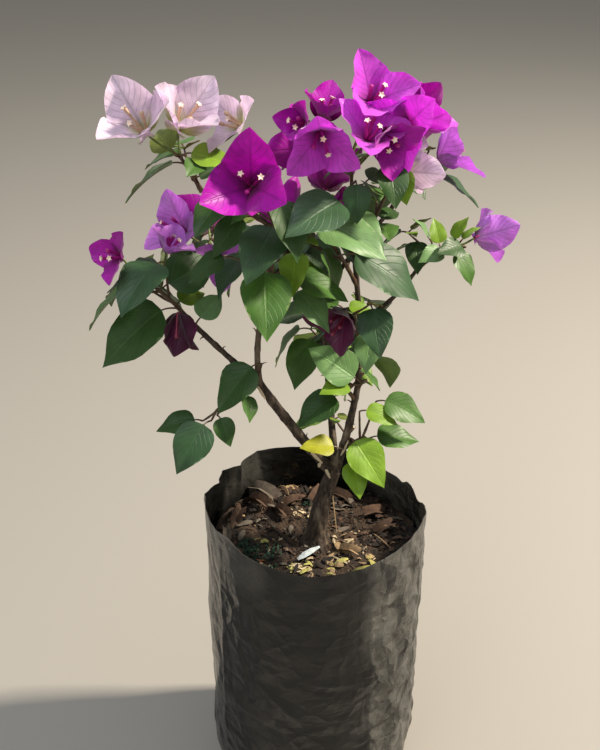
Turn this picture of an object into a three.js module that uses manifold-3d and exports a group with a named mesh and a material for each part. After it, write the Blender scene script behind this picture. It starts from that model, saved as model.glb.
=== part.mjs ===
// A young bougainvillea in a black polythene nursery bag, in millimetres, +Z up.
// The origin is the middle of the bag's flat underside, and its front bloom faces -Y.
import * as THREE from 'three';
import { mergeVertices } from 'three/addons/utils/BufferGeometryUtils.js';
import Module from 'manifold-3d';

const wasm = await Module();
wasm.setup();

// The bag: a gusseted tube of film, filled with soil, whose bottom corners are rounded by the fill.
const BAG_RADIUS = 81;
const BAG_HEIGHT = 250;
const BAG_WALL = 1.6;
const FOOT_RADIUS = 53;
const CORNER_HEIGHT = 52;
const CORNER_STEPS = 3;
const BAG_SIDES = 32;
const RIM_WAVE = { size: 3, lobes: 2, phase: 20 };
const SIDE_WAVE = { size: 1.2, lobes: 3, phase: 40 };

// The soil's top lies below the rim, with a low mound at the stem.
const SOIL_TOP = 222;
const SOIL_MOUND = 3;
const MOUND_RADIUS = 24;

// Clearance between solids that touch on the real plant.
const GAP = 0.3;

// Leaves and bracts: half-widths of the blade at stations from base to tip, as shares of the widest.
const LEAF = {
  stations: [[0.28, 1], [0.62, 0.7]],
  widthShare: 0.74,
  fold: 14,
  thicknessShare: 0.018,
};
const BRACT = {
  stations: [[0.42, 1], [0.7, 0.83]],
  widthShare: 0.71,
  fold: 8,
  thicknessShare: 0.018,
};
const BRACT_CURL = 20;
const BRACT_OPEN = 38;
const BRACT_ROOT = 0.35;
const TUBE_SHARE = 0.5;
const TUBE_RADIUS = 2;

// A petiole rises less from its twig the more its leaf hangs.
const PETIOLE_SHARE = 0.2;
const PETIOLE_RADIUS = 0.9;
const PETIOLE_RISE = 20;
const PETIOLE_HANG = 0.5;

// Twigs and the stems that carry them, and the steps and sides of each kind of tube.
const TWIG_RADIUS = 1.1;
const TWIG_TAPER = 0.25;
const STEM_RADIUS = 1.6;
const STEM_BOW = 0.12;
const FLARE_DECAY = 9;
const TUBES = { trunk: [8, 12], limb: [6, 7], stem: [3, 4], bloom: [3, 3], twig: [1, 3] };

// Seeded spread of each leaf about its twig's own heading, in degrees, and of its length as a share.
const TURN_SPREAD = 12;
const ROLL_SPREAD = 24;
const LENGTH_SPREAD = 0.14;
const CURL_RANGE = [18, 42];

// Twigs that fill a mass: the stretch of its stem that carries them, their heading, which is away from the
// front, their rise and reach, how far their leaves hang, and the outer stretch where the leaves are spaced.
const FILL_SHARE = [0.25, 1];
const FILL_TURN = [-10, 190];
const FILL_RISE = [0, 55];
const FILL_REACH = [18, 34];
const FILL_DROOP = [5, 55];
const FILL_LEAVES = 2;
const LEAF_STRETCH = 0.6;
const GOLDEN_ANGLE = 137.5;

// Seeds of the leaves' and the filling twigs' streams, a step apart from one mass to the next.
const LEAF_SEED = 1000;
const TWIG_SEED = 5000;
const SEED_STEP = 38;

// What would touch something is turned on its twig by these angles, and is left off if all fail.
const TURN_TRIES = [0, 8, -8, 16, -16, 26, -26, 38, -38, 54, -54, 74, -74, 98, -98];

const COLOURS = {
  film: ['#1d1f20', 0.45],
  soil: ['#4a3626', 1],
  bark: ['#6b5747', 0.9],
  foliage: ['#44702f', 0.5],
};

// Trunk and boughs: each runs from a point to a tip, bowed towards its bend, with its radius at both ends.
const LIMBS = [
  { name: 'trunk', from: [0, 0, 218], bend: [2, 0, 252], tip: [13, 0, 281], radii: [7.6, 5.2], flare: 6 },
  { name: 'left_bough', from: [12, 0, 279], bend: [-16, -7, 318], tip: [-39, -12, 358], radii: [3.9, 3] },
  { name: 'right_bough', from: [13, 0, 279], bend: [22, 4, 304], tip: [29, 10, 345], radii: [3.4, 2.3] },
  { name: 'left_arm', from: [-38, -12, 356], bend: [-58, -16, 378], tip: [-80, -19, 404], radii: [2.3, 1.7] },
  { name: 'mid_bough', from: [-38, -12, 356], bend: [-44, -16, 410], tip: [-16, -9, 450], radii: [2.2, 1.6] },
  { name: 'crown_bough', from: [29, 10, 344], bend: [30, 14, 400], tip: [22, 11, 452], radii: [2.2, 1.7] },
  { name: 'white_arm', from: [-17, -9, 448], bend: [-36, -12, 480], tip: [-70, -17, 489], radii: [1.8, 1.4] },
  { name: 'right_arm', from: [29, 12, 392], bend: [50, 20, 398], tip: [68, 27, 424], radii: [1.8, 1.4] },
  { name: 'back_bough', from: [14, 1, 283], bend: [10, 34, 320], tip: [4, 48, 392], radii: [2.8, 1.9] },
  { name: 'back_left_arm', from: [4, 48, 390], bend: [-24, 50, 396], tip: [-54, 44, 420], radii: [1.8, 1.4] },
  { name: 'back_right_arm', from: [4, 48, 390], bend: [20, 60, 420], tip: [50, 58, 452], radii: [1.8, 1.4] },
];

// Masses of foliage. A mass's stem leaves its limb at a share of it and runs to a tip. Each spray's twig
// leaves the stem at a share of that and ends at its own tip, with a leaf there that has a heading "turn"
// (0 is +X, 90 is +Y), hangs by "droop" below level and is rolled about itself, or with a bloom that
// faces a heading and a rise, is rolled about them, and opens by BRACT_OPEN where it has no "open" of its
// own, which is 33 or more, so that its bracts don't cut into each other. "fill" more twigs are placed by
// rule, each with leaves of the mass's size.
const MASSES = [
  {
    name: 'left_mass', limb: 'left_arm', share: 1, tip: [-106, -24, 434], fill: 1, leaf: 34,
    sprays: [
      { at: 0.5, tip: [-95, -17, 444], leaf: 44, turn: 240, droop: 6, roll: -8 },
      { at: 0.1, tip: [-87, -24, 416], leaf: 52, turn: 208, droop: 36, roll: -24 },
      { at: 0.7, tip: [-114, -21, 427], leaf: 38, turn: 178, droop: 36, roll: -6 },
      { at: 0.5, tip: [-99, -21, 426], leaf: 40, turn: 36, droop: -22, roll: 34 },
      { at: 0.05, tip: [-77, -23, 405], leaf: 24, turn: 48, droop: -30, roll: 20 },
      { at: 0.3, tip: [-91, -13, 413], leaf: 22, turn: 48, droop: -8, roll: 30 },
      { at: 1, tip: [-120, -26, 451], bloom: 'magenta', bract: 22, face: [-135, 20, 60], open: 50 },
      { at: 0.7, tip: [-98, 12, 440], bloom: 'lilac', bract: 23, face: [-10, 60, 10] },
      { at: 0.15, tip: [-86, -34, 418], bloom: 'maroon', bract: 26, face: [-80, -82, 0], open: 33 },
    ],
  },
  {
    name: 'low_left_mass', limb: 'left_bough', share: 0.98, tip: [-66, -30, 346], fill: 0, leaf: 34,
    sprays: [
      { at: 0.1, tip: [-36, -19, 375], leaf: 38, turn: 214, droop: 31, roll: -20 },
      { at: 0.8, tip: [-75, -31, 339], leaf: 27, turn: 200, droop: 6, roll: -34 },
      { at: 1, tip: [-69, -34, 341], leaf: 36, turn: 232, droop: 32, roll: -12 },
      { at: 0.9, tip: [-65, -34, 345], leaf: 20, turn: 300, droop: 42, roll: 10 },
    ],
  },
  {
    name: 'middle_mass', limb: 'mid_bough', share: 0.72, tip: [-28, -26, 452], fill: 1, leaf: 34,
    sprays: [
      { at: 0.3, tip: [-33, -25, 444], leaf: 44, turn: -88, droop: 34, roll: 0 },
      { at: 1, tip: [-24, -26, 471], leaf: 44, turn: 240, droop: 18, roll: -14 },
      { at: 0.4, tip: [-20, -18, 434], leaf: 34, turn: -9, droop: 15, roll: 20 },
      { at: 0.2, tip: [-18, -12, 424], leaf: 32, turn: -27, droop: 37, roll: 10 },
      { at: 0.7, tip: [-12, -14, 452], leaf: 28, turn: -80, droop: 45, roll: 0 },
      { at: 0.6, tip: [-52, -30, 452], leaf: 28, turn: 200, droop: 24, roll: -20 },
    ],
  },
  {
    name: 'front_mass', limb: 'mid_bough', share: 0.93, tip: [-33, -32, 488], fill: 1, leaf: 34,
    sprays: [
      { at: 1, tip: [-39, -36, 498], bloom: 'magenta', bract: 43, face: [-92, 24, 88], open: 33 },
      { at: 0.8, tip: [-27, -27, 488], leaf: 38, turn: -60, droop: 35, roll: 0 },
      { at: 0.5, tip: [-40, -24, 476], leaf: 30, turn: 200, droop: 40, roll: -20 },
    ],
  },
  {
    name: 'white_mass', limb: 'white_arm', share: 1, tip: [-83, -18, 512], fill: 1, leaf: 28,
    sprays: [
      { at: 1, tip: [-100, -20, 524], bloom: 'white', bract: 38, face: [-118, 48, 14], open: 33 },
      { at: 0.9, tip: [-83, -14, 525], bloom: 'white', bract: 38, face: [-45, 48, 30], open: 33 },
      { at: 0.7, tip: [-45, -10, 526], bloom: 'white', bract: 27, face: [-150, 30, 40], open: 50 },
      { at: 0.7, tip: [-78, -22, 507], leaf: 38, turn: 178, droop: 24, roll: -6 },
      { at: 0.1, tip: [-54, -22, 485], leaf: 32, turn: 236, droop: 16, roll: -14 },
      { at: 0.95, tip: [-84, -21, 512], leaf: 28, turn: 165, droop: -26, roll: -30 },
      { at: 0.5, tip: [-75, -18, 496], leaf: 26, turn: 0, droop: -34, roll: 20 },
      { at: 0.85, tip: [-80, -24, 513], leaf: 30, turn: -8, droop: 10, roll: 16 },
    ],
  },
  {
    name: 'crown_mass', limb: 'crown_bough', share: 1, tip: [20, 4, 506], fill: 1, leaf: 34,
    sprays: [
      { at: 1, tip: [31, 10, 535], bloom: 'magenta', bract: 34, face: [-70, 44, 110], open: 35 },
      { at: 0.95, tip: [28, -14, 519], bloom: 'magenta', bract: 29, face: [-62, 60, 0], open: 54 },
      { at: 0.9, tip: [1, -6, 523], bloom: 'magenta', bract: 35, face: [-90, -18, 96], open: 37 },
      { at: 0.85, tip: [2, 12, 524], bloom: 'magenta', bract: 27, face: [-30, 70, 30], open: 33 },
      { at: 0.8, tip: [-8, 4, 524], bloom: 'magenta', bract: 21, face: [-130, 20, 60], open: 33 },
      { at: 0.75, tip: [38, -8, 520], bloom: 'magenta', bract: 27, face: [-65, -10, 30], open: 40 },
      { at: 0.85, tip: [54, 2, 525], bloom: 'magenta', bract: 33, face: [-150, 2, 40], open: 52 },
      { at: 0.7, tip: [-2, 26, 504], bloom: 'magenta', bract: 34, face: [160, 5, 0] },
      { at: 0.5, tip: [16, 4, 486], bloom: 'magenta', bract: 16, face: [-75, -62, 0], open: 33 },
      { at: 0.4, tip: [18, -18, 483], leaf: 44, turn: 208, droop: 8, roll: -34 },
      { at: 0.6, tip: [22, -14, 495], leaf: 23, turn: -85, droop: 62, roll: 0 },
    ],
  },
  {
    name: 'crown_right_mass', limb: 'crown_bough', share: 0.8, tip: [52, 8, 498], fill: 1, leaf: 34,
    sprays: [
      { at: 1, tip: [61, 14, 520], bloom: 'magenta', bract: 28, face: [0, 42, 60], open: 36 },
      { at: 0.9, tip: [58, 26, 522], bloom: 'magenta', bract: 30, face: [60, 50, 20], open: 40 },
      { at: 0.8, tip: [49, 4, 496], bloom: 'white', bract: 30, face: [20, 0, 60], open: 34 },
      { at: 0.75, tip: [42, -6, 503], leaf: 27, turn: -85, droop: 36, roll: 0 },
      { at: 0.7, tip: [47, -4, 501], leaf: 22, turn: -60, droop: 60, roll: 40 },
      { at: 0.85, tip: [52, 28, 510], bloom: 'magenta', bract: 34, face: [80, 30, 0] },
    ],
  },
  {
    name: 'centre_mass', limb: 'crown_bough', share: 0.66, tip: [4, -8, 458], fill: 1, leaf: 34,
    sprays: [
      { at: 1, tip: [-7, -14, 469], leaf: 46, turn: -32, droop: 14, roll: 22 },
      { at: 0.9, tip: [14, -6, 470], leaf: 34, turn: -50, droop: 14, roll: 14 },
      { at: 0.6, tip: [13, -8, 445], leaf: 56, turn: -15, droop: 17, roll: 38 },
    ],
  },
  {
    name: 'inner_mass', limb: 'crown_bough', share: 0.3, tip: [24, -4, 404], fill: 1, leaf: 34,
    sprays: [
      { at: 0.9, tip: [19, -5, 406], bloom: 'maroon', bract: 30, face: [-125, -22, 37] },
      { at: 1, tip: [34, -3, 410], leaf: 32, turn: -110, droop: 48, roll: 20 },
      { at: 0.1, tip: [37, -2, 391], leaf: 27, turn: -110, droop: 32, roll: 0 },
    ],
  },
  {
    name: 'right_mass', limb: 'right_arm', share: 1, tip: [93, 33, 436], fill: 1, leaf: 24,
    sprays: [
      { at: 1, tip: [105, 34, 442], bloom: 'lilac', bract: 31, face: [30, 0, 30], open: 34 },
      { at: 0.35, tip: [76, 28, 441], leaf: 17, turn: 180, droop: -62, roll: 0 },
      { at: 0.5, tip: [82, 28, 437], leaf: 18, turn: 112, droop: -66, roll: 0 },
      { at: 0.7, tip: [89, 31, 440], leaf: 17, turn: 20, droop: -70, roll: 0 },
      { at: 0.85, tip: [95, 31, 440], leaf: 14, turn: 30, droop: -50, roll: 0 },
      { at: 0.8, tip: [89, 30, 434], leaf: 26, turn: -40, droop: 42, roll: 20 },
      { at: 0.6, tip: [85, 28, 435], leaf: 20, turn: 170, droop: 4, roll: -30 },
      { at: 0.9, tip: [99, 30, 437], leaf: 22, turn: 192, droop: -4, roll: -40 },
    ],
  },
  {
    name: 'low_inner_mass', limb: 'right_bough', share: 0.85, tip: [16, 0, 350], fill: 1, leaf: 30,
    sprays: [
      { at: 0.7, tip: [18, 1, 341], leaf: 32, turn: 208, droop: 14, roll: -30 },
      { at: 0.5, tip: [24, 2, 349], leaf: 25, turn: 205, droop: -16, roll: -40 },
      { at: 1, tip: [31, -2, 351], leaf: 36, turn: 178, droop: -34, roll: -40 },
    ],
  },
  {
    name: 'low_right_mass', limb: 'right_bough', share: 0.3, tip: [34, 4, 306], fill: 1, leaf: 30,
    sprays: [
      { at: 0.4, tip: [22, 2, 307], leaf: 36, turn: -52, droop: 34, roll: 20 },
      { at: 0.1, tip: [24, -1, 291], leaf: 26, turn: -74, droop: 32, roll: 0 },
      { at: 1, tip: [37, 8, 302], leaf: 34, turn: 0, droop: 8, roll: 24 },
      { at: 0.8, tip: [30, 5, 326], leaf: 26, turn: -10, droop: 4, roll: 20 },
      { at: 0.9, tip: [42, 14, 329], leaf: 31, turn: -16, droop: 10, roll: 20 },
      { at: 0.2, tip: [16, -8, 304], leaf: 23, turn: 200, droop: -16, roll: -24 },
    ],
  },
  {
    name: 'back_left_mass', limb: 'back_left_arm', share: 1, tip: [-76, 42, 434], fill: 4, leaf: 38,
    sprays: [
      { at: 1, tip: [-88, 44, 442], bloom: 'lilac', bract: 32, face: [-150, 35, 0] },
      { at: 0.5, tip: [-64, 36, 424], bloom: 'lilac', bract: 26, face: [-85, 20, 30] },
      { at: 0.8, tip: [-74, 60, 440], bloom: 'magenta', bract: 34, face: [110, 20, 30] },
    ],
  },
  {
    name: 'back_mass', limb: 'back_bough', share: 0.98, tip: [2, 66, 442], fill: 5, leaf: 42,
    sprays: [
      { at: 1, tip: [6, 76, 462], bloom: 'magenta', bract: 38, face: [80, 40, 30] },
      { at: 0.7, tip: [-14, 78, 440], bloom: 'magenta', bract: 34, face: [125, 8, 0] },
    ],
  },
  {
    name: 'back_right_mass', limb: 'back_right_arm', share: 1, tip: [64, 58, 480], fill: 4, leaf: 38,
    sprays: [
      { at: 1, tip: [80, 56, 488], bloom: 'lilac', bract: 34, face: [5, 30, 0] },
      { at: 0.8, tip: [58, 72, 490], bloom: 'magenta', bract: 36, face: [75, 35, 30] },
    ],
  },
  {
    name: 'back_low_mass', limb: 'back_bough', share: 0.55, tip: [20, 66, 352], fill: 4, leaf: 40,
    sprays: [],
  },
  {
    name: 'back_inner_mass', limb: 'back_left_arm', share: 0.45, tip: [-34, 62, 424], fill: 3, leaf: 38,
    sprays: [],
  },
];

// A seeded stream of numbers from 0 to 1, the same on every run.
function stream(seed) {
  let state = seed;
  return () => {
    state = (state * 1664525 + 1013904223) % 4294967296;
    return state / 4294967296;
  };
}

const vec = (p) => new THREE.Vector3(...p);
const within = ([low, high], share) => low + (high - low) * share;

// The unit vector with a heading about +Z and a rise above level, in degrees.
function heading(turn, rise) {
  const a = THREE.MathUtils.degToRad(turn);
  const e = THREE.MathUtils.degToRad(rise);
  return new THREE.Vector3(Math.cos(a) * Math.cos(e), Math.sin(a) * Math.cos(e), Math.sin(e));
}

// A solid from vertices and triangles.
function solidFrom(vertices, faces) {
  return new wasm.Manifold(new wasm.Mesh({
    numProp: 3,
    vertProperties: new Float32Array(vertices.flatMap((v) => [v.x, v.y, v.z])),
    triVerts: new Uint32Array(faces.flat()),
  }));
}

// A solid from a closed three.js geometry.
function solidOf(geometry) {
  const bare = geometry.clone().deleteAttribute('normal').deleteAttribute('uv');
  const merged = mergeVertices(bare, 1e-4);
  return new wasm.Manifold(new wasm.Mesh({
    numProp: 3,
    vertProperties: merged.attributes.position.array,
    triVerts: new Uint32Array(merged.index.array),
  }));
}

// The largest body of a solid, so that a scrap left by a cut is dropped.
function largest(solid) {
  return solid.decompose().reduce((a, b) => (a.volume() > b.volume() ? a : b));
}

// A solid lofted through rings of equally many points, closed by a flat fan at its start and, at its end,
// by another or by a point.
function loft(rings, point = null) {
  const sides = rings[0].length;
  const faces = [];
  for (let i = 0; i < rings.length - 1; i += 1) {
    for (let j = 0; j < sides; j += 1) {
      const a = i * sides + j;
      const b = i * sides + ((j + 1) % sides);
      faces.push([a, b, b + sides], [a, b + sides, a + sides]);
    }
  }
  const last = (rings.length - 1) * sides;
  for (let j = 1; j < sides - 1; j += 1) {
    faces.push([0, j + 1, j]);
  }
  if (point) {
    for (let j = 0; j < sides; j += 1) {
      faces.push([last + j, last + ((j + 1) % sides), last + sides]);
    }
    return solidFrom([...rings.flat(), point], faces);
  }
  for (let j = 1; j < sides - 1; j += 1) {
    faces.push([last, last + j, last + j + 1]);
  }
  return solidFrom(rings.flat(), faces);
}

// A tapering tube along a curve. radiusAt takes the share of the length.
function taperedTube(curve, [steps, sides], radiusAt) {
  const frames = curve.computeFrenetFrames(steps, false);
  const rings = [];
  for (let i = 0; i <= steps; i += 1) {
    const centre = curve.getPoint(i / steps);
    rings.push(Array.from({ length: sides }, (_, j) => {
      const a = (2 * Math.PI * j) / sides;
      const out = frames.normals[i].clone().multiplyScalar(Math.cos(a));
      out.addScaledVector(frames.binormals[i], Math.sin(a));
      return centre.clone().addScaledVector(out, radiusAt(i / steps));
    }));
  }
  return loft(rings);
}

// A limb's curve, and its solid fattened by a margin that also lengthens its tip.
const limbCurve = (limb) => new THREE.QuadraticBezierCurve3(vec(limb.from), vec(limb.bend), vec(limb.tip));

function limbSolid(limb, margin = 0) {
  const curve = limbCurve(limb);
  const [first, last] = limb.radii;
  const flare = limb.flare ?? 0;
  if (margin > 0) {
    curve.v2.addScaledVector(curve.getTangent(1), margin);
  }
  const radiusAt = (s) => first + (last - first) * s + flare * Math.exp(-s * FLARE_DECAY) + margin;
  return taperedTube(curve, flare ? TUBES.trunk : TUBES.limb, radiusAt);
}

// A leaf or bract, lofted from the points of its stalk to the blade's pointed tip through rings of four
// points: the left edge, the upper face, the right edge and the under face.
function blade({ stalk, radius, direction, up, length, shape, curl }) {
  const side = new THREE.Vector3().crossVectors(direction, up).normalize();
  const normal = new THREE.Vector3().crossVectors(side, direction).normalize();
  const bend = THREE.MathUtils.degToRad(curl);
  const lift = THREE.MathUtils.degToRad(shape.fold);
  const thickness = length * shape.thicknessShare;
  const stalkRing = (centre) => [
    centre.clone().addScaledVector(side, -radius),
    centre.clone().addScaledVector(normal, radius),
    centre.clone().addScaledVector(side, radius),
    centre.clone().addScaledVector(normal, -radius),
  ];
  const at = (share, across, below) => stalk.at(-1).clone()
    .addScaledVector(direction, (length * Math.sin(bend * share)) / bend)
    .addScaledVector(side, across * Math.cos(lift))
    .addScaledVector(normal, Math.abs(across) * Math.sin(lift) - below)
    .addScaledVector(normal, (-length * (1 - Math.cos(bend * share))) / bend);
  const bladeRing = (share, half) => [
    at(share, -half, 0), at(share, 0, 0), at(share, half, 0), at(share, 0, thickness),
  ];
  const half = (length * shape.widthShare) / 2;
  return loft([
    ...stalk.map(stalkRing),
    ...shape.stations.map(([share, reach]) => bladeRing(share, half * reach)),
  ], at(1, 0, 0));
}

// The upper side of a leaf faces the sky as far as its direction lets it, rolled a little.
function skyward(direction, roll) {
  const up = new THREE.Vector3(0, 0, 1).addScaledVector(direction, -direction.z).normalize();
  return up.applyAxisAngle(direction, THREE.MathUtils.degToRad(roll));
}

// A leaf, whose stalk rises from the twig before the blade hangs.
function leafSolid(root, { turn, droop, roll, length, curl }) {
  const direction = heading(turn, -droop);
  const rise = heading(turn, PETIOLE_RISE - droop * PETIOLE_HANG);
  return blade({
    stalk: [root, root.clone().addScaledVector(rise, length * PETIOLE_SHARE)],
    radius: PETIOLE_RADIUS,
    direction,
    up: skyward(direction, roll),
    length,
    shape: LEAF,
    curl,
  });
}

// The three bracts of a bloom, which open round the end of its twig.
function bractsSolid({ end, face: [turn, rise, roll], bract, open = BRACT_OPEN }, extra) {
  const axis = heading(turn + extra, rise);
  const across = heading(turn + extra + 90, 0);
  const opened = THREE.MathUtils.degToRad(open);
  return wasm.Manifold.union([0, 120, 240].map((step) => {
    const out = across.clone().applyAxisAngle(axis, THREE.MathUtils.degToRad(roll + step));
    return blade({
      stalk: [end.clone().addScaledVector(out, BRACT_ROOT)],
      radius: BRACT_ROOT,
      direction: axis.clone().multiplyScalar(Math.cos(opened)).addScaledVector(out, Math.sin(opened)),
      up: axis.clone().multiplyScalar(Math.sin(opened)).addScaledVector(out, -Math.cos(opened)),
      length: bract,
      shape: BRACT,
      curl: BRACT_CURL,
    });
  }));
}

// A twig from its stem to its tip. One with a bloom runs on as the bunch of tube flowers inside it.
function twigOf(spray, start) {
  const end = vec(spray.tip);
  if (!spray.bloom) {
    const line = new THREE.LineCurve3(start, end);
    const solid = taperedTube(line, TUBES.twig, (s) => TWIG_RADIUS * (1 - TWIG_TAPER * s));
    return { ...spray, curve: line, solid };
  }
  const [turn, rise] = spray.face;
  const bunch = end.clone().addScaledVector(heading(turn, rise), spray.bract * TUBE_SHARE);
  const line = new THREE.CatmullRomCurve3([start, start.clone().lerp(end, 0.5), end, bunch]);
  const radiusAt = (s) => TWIG_RADIUS + (TUBE_RADIUS - TWIG_RADIUS) * s;
  return { ...spray, end, solid: taperedTube(line, TUBES.bloom, radiusAt) };
}

// Whether two solids overlap, after a look at their boxes.
function meets(a, b) {
  const boxA = a.boundingBox();
  const boxB = b.boundingBox();
  const apart = [0, 1, 2].some((k) => boxA.min[k] > boxB.max[k] || boxB.min[k] > boxA.max[k]);
  return !apart && a.intersect(b).volume() > 0;
}

// The limbs, each cut clear of the ones before it, the trunk with a flat foot on the soil.
const limbs = new Map();
const guards = [];
for (const limb of LIMBS) {
  let solid = limbSolid(limb).trimByPlane([0, 0, 1], SOIL_TOP);
  for (const guard of guards) {
    solid = solid.subtract(guard);
  }
  limbs.set(limb.name, { curve: limbCurve(limb), solid: largest(solid) });
  guards.push(limbSolid(limb, GAP));
}

// Each mass's skeleton of stem and twigs, before any leaf, so that leaves keep clear of all of them.
const masses = MASSES.map((mass, m) => {
  const next = stream(TWIG_SEED + SEED_STEP * m);
  const root = limbs.get(mass.limb).curve.getPoint(mass.share);
  const tip = vec(mass.tip);
  const lift = new THREE.Vector3(0, 0, root.distanceTo(tip) * STEM_BOW);
  const curve = new THREE.QuadraticBezierCurve3(root, root.clone().lerp(tip, 0.5).add(lift), tip);
  const fillers = Array.from({ length: mass.fill }, (_, k) => {
    const at = within(FILL_SHARE, (k + next()) / mass.fill);
    const turn = within(FILL_TURN, ((k * GOLDEN_ANGLE) / 360 + next()) % 1);
    const reach = heading(turn, within(FILL_RISE, next())).multiplyScalar(within(FILL_REACH, next()));
    const end = curve.getPoint(at).add(reach).toArray();
    const droop = within(FILL_DROOP, next());
    return { at, tip: end, leaves: FILL_LEAVES, leaf: mass.leaf, turn, droop, roll: 0 };
  });
  const twigs = [...mass.sprays, ...fillers].map((spray) => twigOf(spray, curve.getPoint(spray.at)));
  const stem = taperedTube(curve, TUBES.stem, (s) => STEM_RADIUS + (TWIG_RADIUS - STEM_RADIUS) * s);
  return { name: mass.name, stem, twigs, blooms: [], leaves: [] };
});

const skeleton = (mass) => [mass.stem, ...mass.twigs.map((twig) => twig.solid)];

// A filling twig that would cross the stem or a twig of another mass is left off.
for (const mass of masses) {
  const others = masses.filter((other) => other !== mass).flatMap(skeleton);
  const crosses = (twig) => others.some((solid) => meets(twig.solid, solid));
  mass.twigs = mass.twigs.filter((twig) => !twig.leaves || !crosses(twig));
}

// Blooms, then leaves: each is kept only where it is clear of all that stands already but its own pieces.
const standing = [...guards, ...masses.flatMap(skeleton)];

function firstClear(own, make) {
  const others = standing.filter((solid) => !own.includes(solid));
  const clear = TURN_TRIES.map(make).find((made) => !others.some((solid) => meets(made, solid)));
  if (clear) {
    standing.push(clear);
  }
  return clear ? [clear] : [];
}

for (const mass of masses) {
  for (const twig of mass.twigs.filter((each) => each.bloom)) {
    const own = [...skeleton(mass), ...mass.blooms];
    mass.blooms.push(...firstClear(own, (extra) => bractsSolid(twig, extra)));
  }
}

// The leaves of the sprays that show come first, and then those of the twigs that fill the crown.
for (const filling of [false, true]) {
  masses.forEach((mass, m) => {
    const next = stream(LEAF_SEED + SEED_STEP * (2 * m + Number(filling)));
    mass.twigs.filter((twig) => twig.leaf && Boolean(twig.leaves) === filling).forEach((twig) => {
      const count = twig.leaves ?? 1;
      for (let i = 0; i < count; i += 1) {
        const root = twig.curve.getPoint(1 - (LEAF_STRETCH * i) / count);
        const habit = {
          turn: twig.turn + i * GOLDEN_ANGLE + (next() - 0.5) * TURN_SPREAD,
          droop: twig.droop + (next() - 0.5) * TURN_SPREAD,
          length: twig.leaf * (1 + (next() - 0.5) * LENGTH_SPREAD),
          roll: twig.roll + (next() - 0.5) * ROLL_SPREAD,
          curl: within(CURL_RANGE, next()),
        };
        mass.leaves.push(...firstClear([twig.solid], (extra) => (
          leafSolid(root, { ...habit, turn: habit.turn + extra })
        )));
      }
    });
  });
}

const material = Object.fromEntries(Object.entries(COLOURS).map(([name, [color, roughness]]) => [
  name,
  new THREE.MeshStandardMaterial({ name, color, roughness, metalness: 0 }),
]));

// A named mesh from a solid.
function meshOf(name, solid, materialName) {
  const made = solid.getMesh();
  const geometry = new THREE.BufferGeometry();
  geometry.setAttribute('position', new THREE.BufferAttribute(new Float32Array(made.vertProperties), 3));
  geometry.setIndex(new THREE.BufferAttribute(made.triVerts, 1));
  geometry.computeVertexNormals();
  const mesh = new THREE.Mesh(geometry, material[materialName]);
  mesh.name = name;
  return mesh;
}

// The bag's outline from the middle of its foot to the rim, as [radius, height], set in by a distance.
function bagOutline(inset, top) {
  const points = [new THREE.Vector2(0, inset), new THREE.Vector2(FOOT_RADIUS, inset)];
  for (let i = 1; i <= CORNER_STEPS; i += 1) {
    const a = (i / CORNER_STEPS) * (Math.PI / 2);
    points.push(new THREE.Vector2(
      FOOT_RADIUS + (BAG_RADIUS - inset - FOOT_RADIUS) * Math.sin(a),
      inset + (CORNER_HEIGHT - inset) * (1 - Math.cos(a)),
    ));
  }
  points.push(new THREE.Vector2(BAG_RADIUS - inset, top));
  return points;
}

// The film's slack: the wall swells and sinks a little round the bag, and the rim rises and dips.
function wave({ size, lobes, phase }, turn) {
  return size * Math.sin(lobes * turn + THREE.MathUtils.degToRad(phase));
}

function slacken(geometry) {
  const position = geometry.attributes.position;
  for (let i = 0; i < position.count; i += 1) {
    const [x, y, z] = [position.getX(i), position.getY(i), position.getZ(i)];
    const turn = Math.atan2(y, x);
    const height = THREE.MathUtils.smoothstep(z, 0, BAG_HEIGHT);
    const swell = 1 + (height * wave(SIDE_WAVE, turn)) / BAG_RADIUS;
    const rise = z > SOIL_TOP + SOIL_MOUND ? wave(RIM_WAVE, turn) : 0;
    position.setXYZ(i, x * swell, y * swell, z + rise);
  }
  return geometry;
}

// A turned solid stands on its own axis, so it is laid from three.js's +Y up to +Z up first.
const turned = (points) => slacken(new THREE.LatheGeometry(points, BAG_SIDES).rotateX(Math.PI / 2));

const bagInside = bagOutline(BAG_WALL, BAG_HEIGHT).reverse();
const bag = solidOf(turned([...bagOutline(0, BAG_HEIGHT), ...bagInside]));
const soil = solidOf(turned([
  ...bagOutline(BAG_WALL + GAP, SOIL_TOP - SOIL_MOUND),
  new THREE.Vector2(MOUND_RADIUS, SOIL_TOP - GAP),
  new THREE.Vector2(0, SOIL_TOP - GAP),
]));

const plant = new THREE.Group();
plant.name = 'bougainvillea';
plant.add(meshOf('bag', bag, 'film'));
plant.add(meshOf('soil', soil, 'soil'));
for (const [name, limb] of limbs) {
  plant.add(meshOf(name, limb.solid, 'bark'));
}
for (const mass of masses) {
  let whole = wasm.Manifold.union([...skeleton(mass), ...mass.blooms, ...mass.leaves]);
  for (const guard of guards) {
    whole = whole.subtract(guard);
  }
  plant.add(meshOf(mass.name, largest(whole), 'foliage'));
}

export default plant;
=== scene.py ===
# A young bougainvillea in its black nursery bag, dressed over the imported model, in metres, +Z up.
# The pieces come in the order in which such a plant is potted and grows; the studio comes last.
import math

import bpy
import numpy as np
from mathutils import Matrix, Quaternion, Vector, noise
from mathutils.bvhtree import BVHTree


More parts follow.
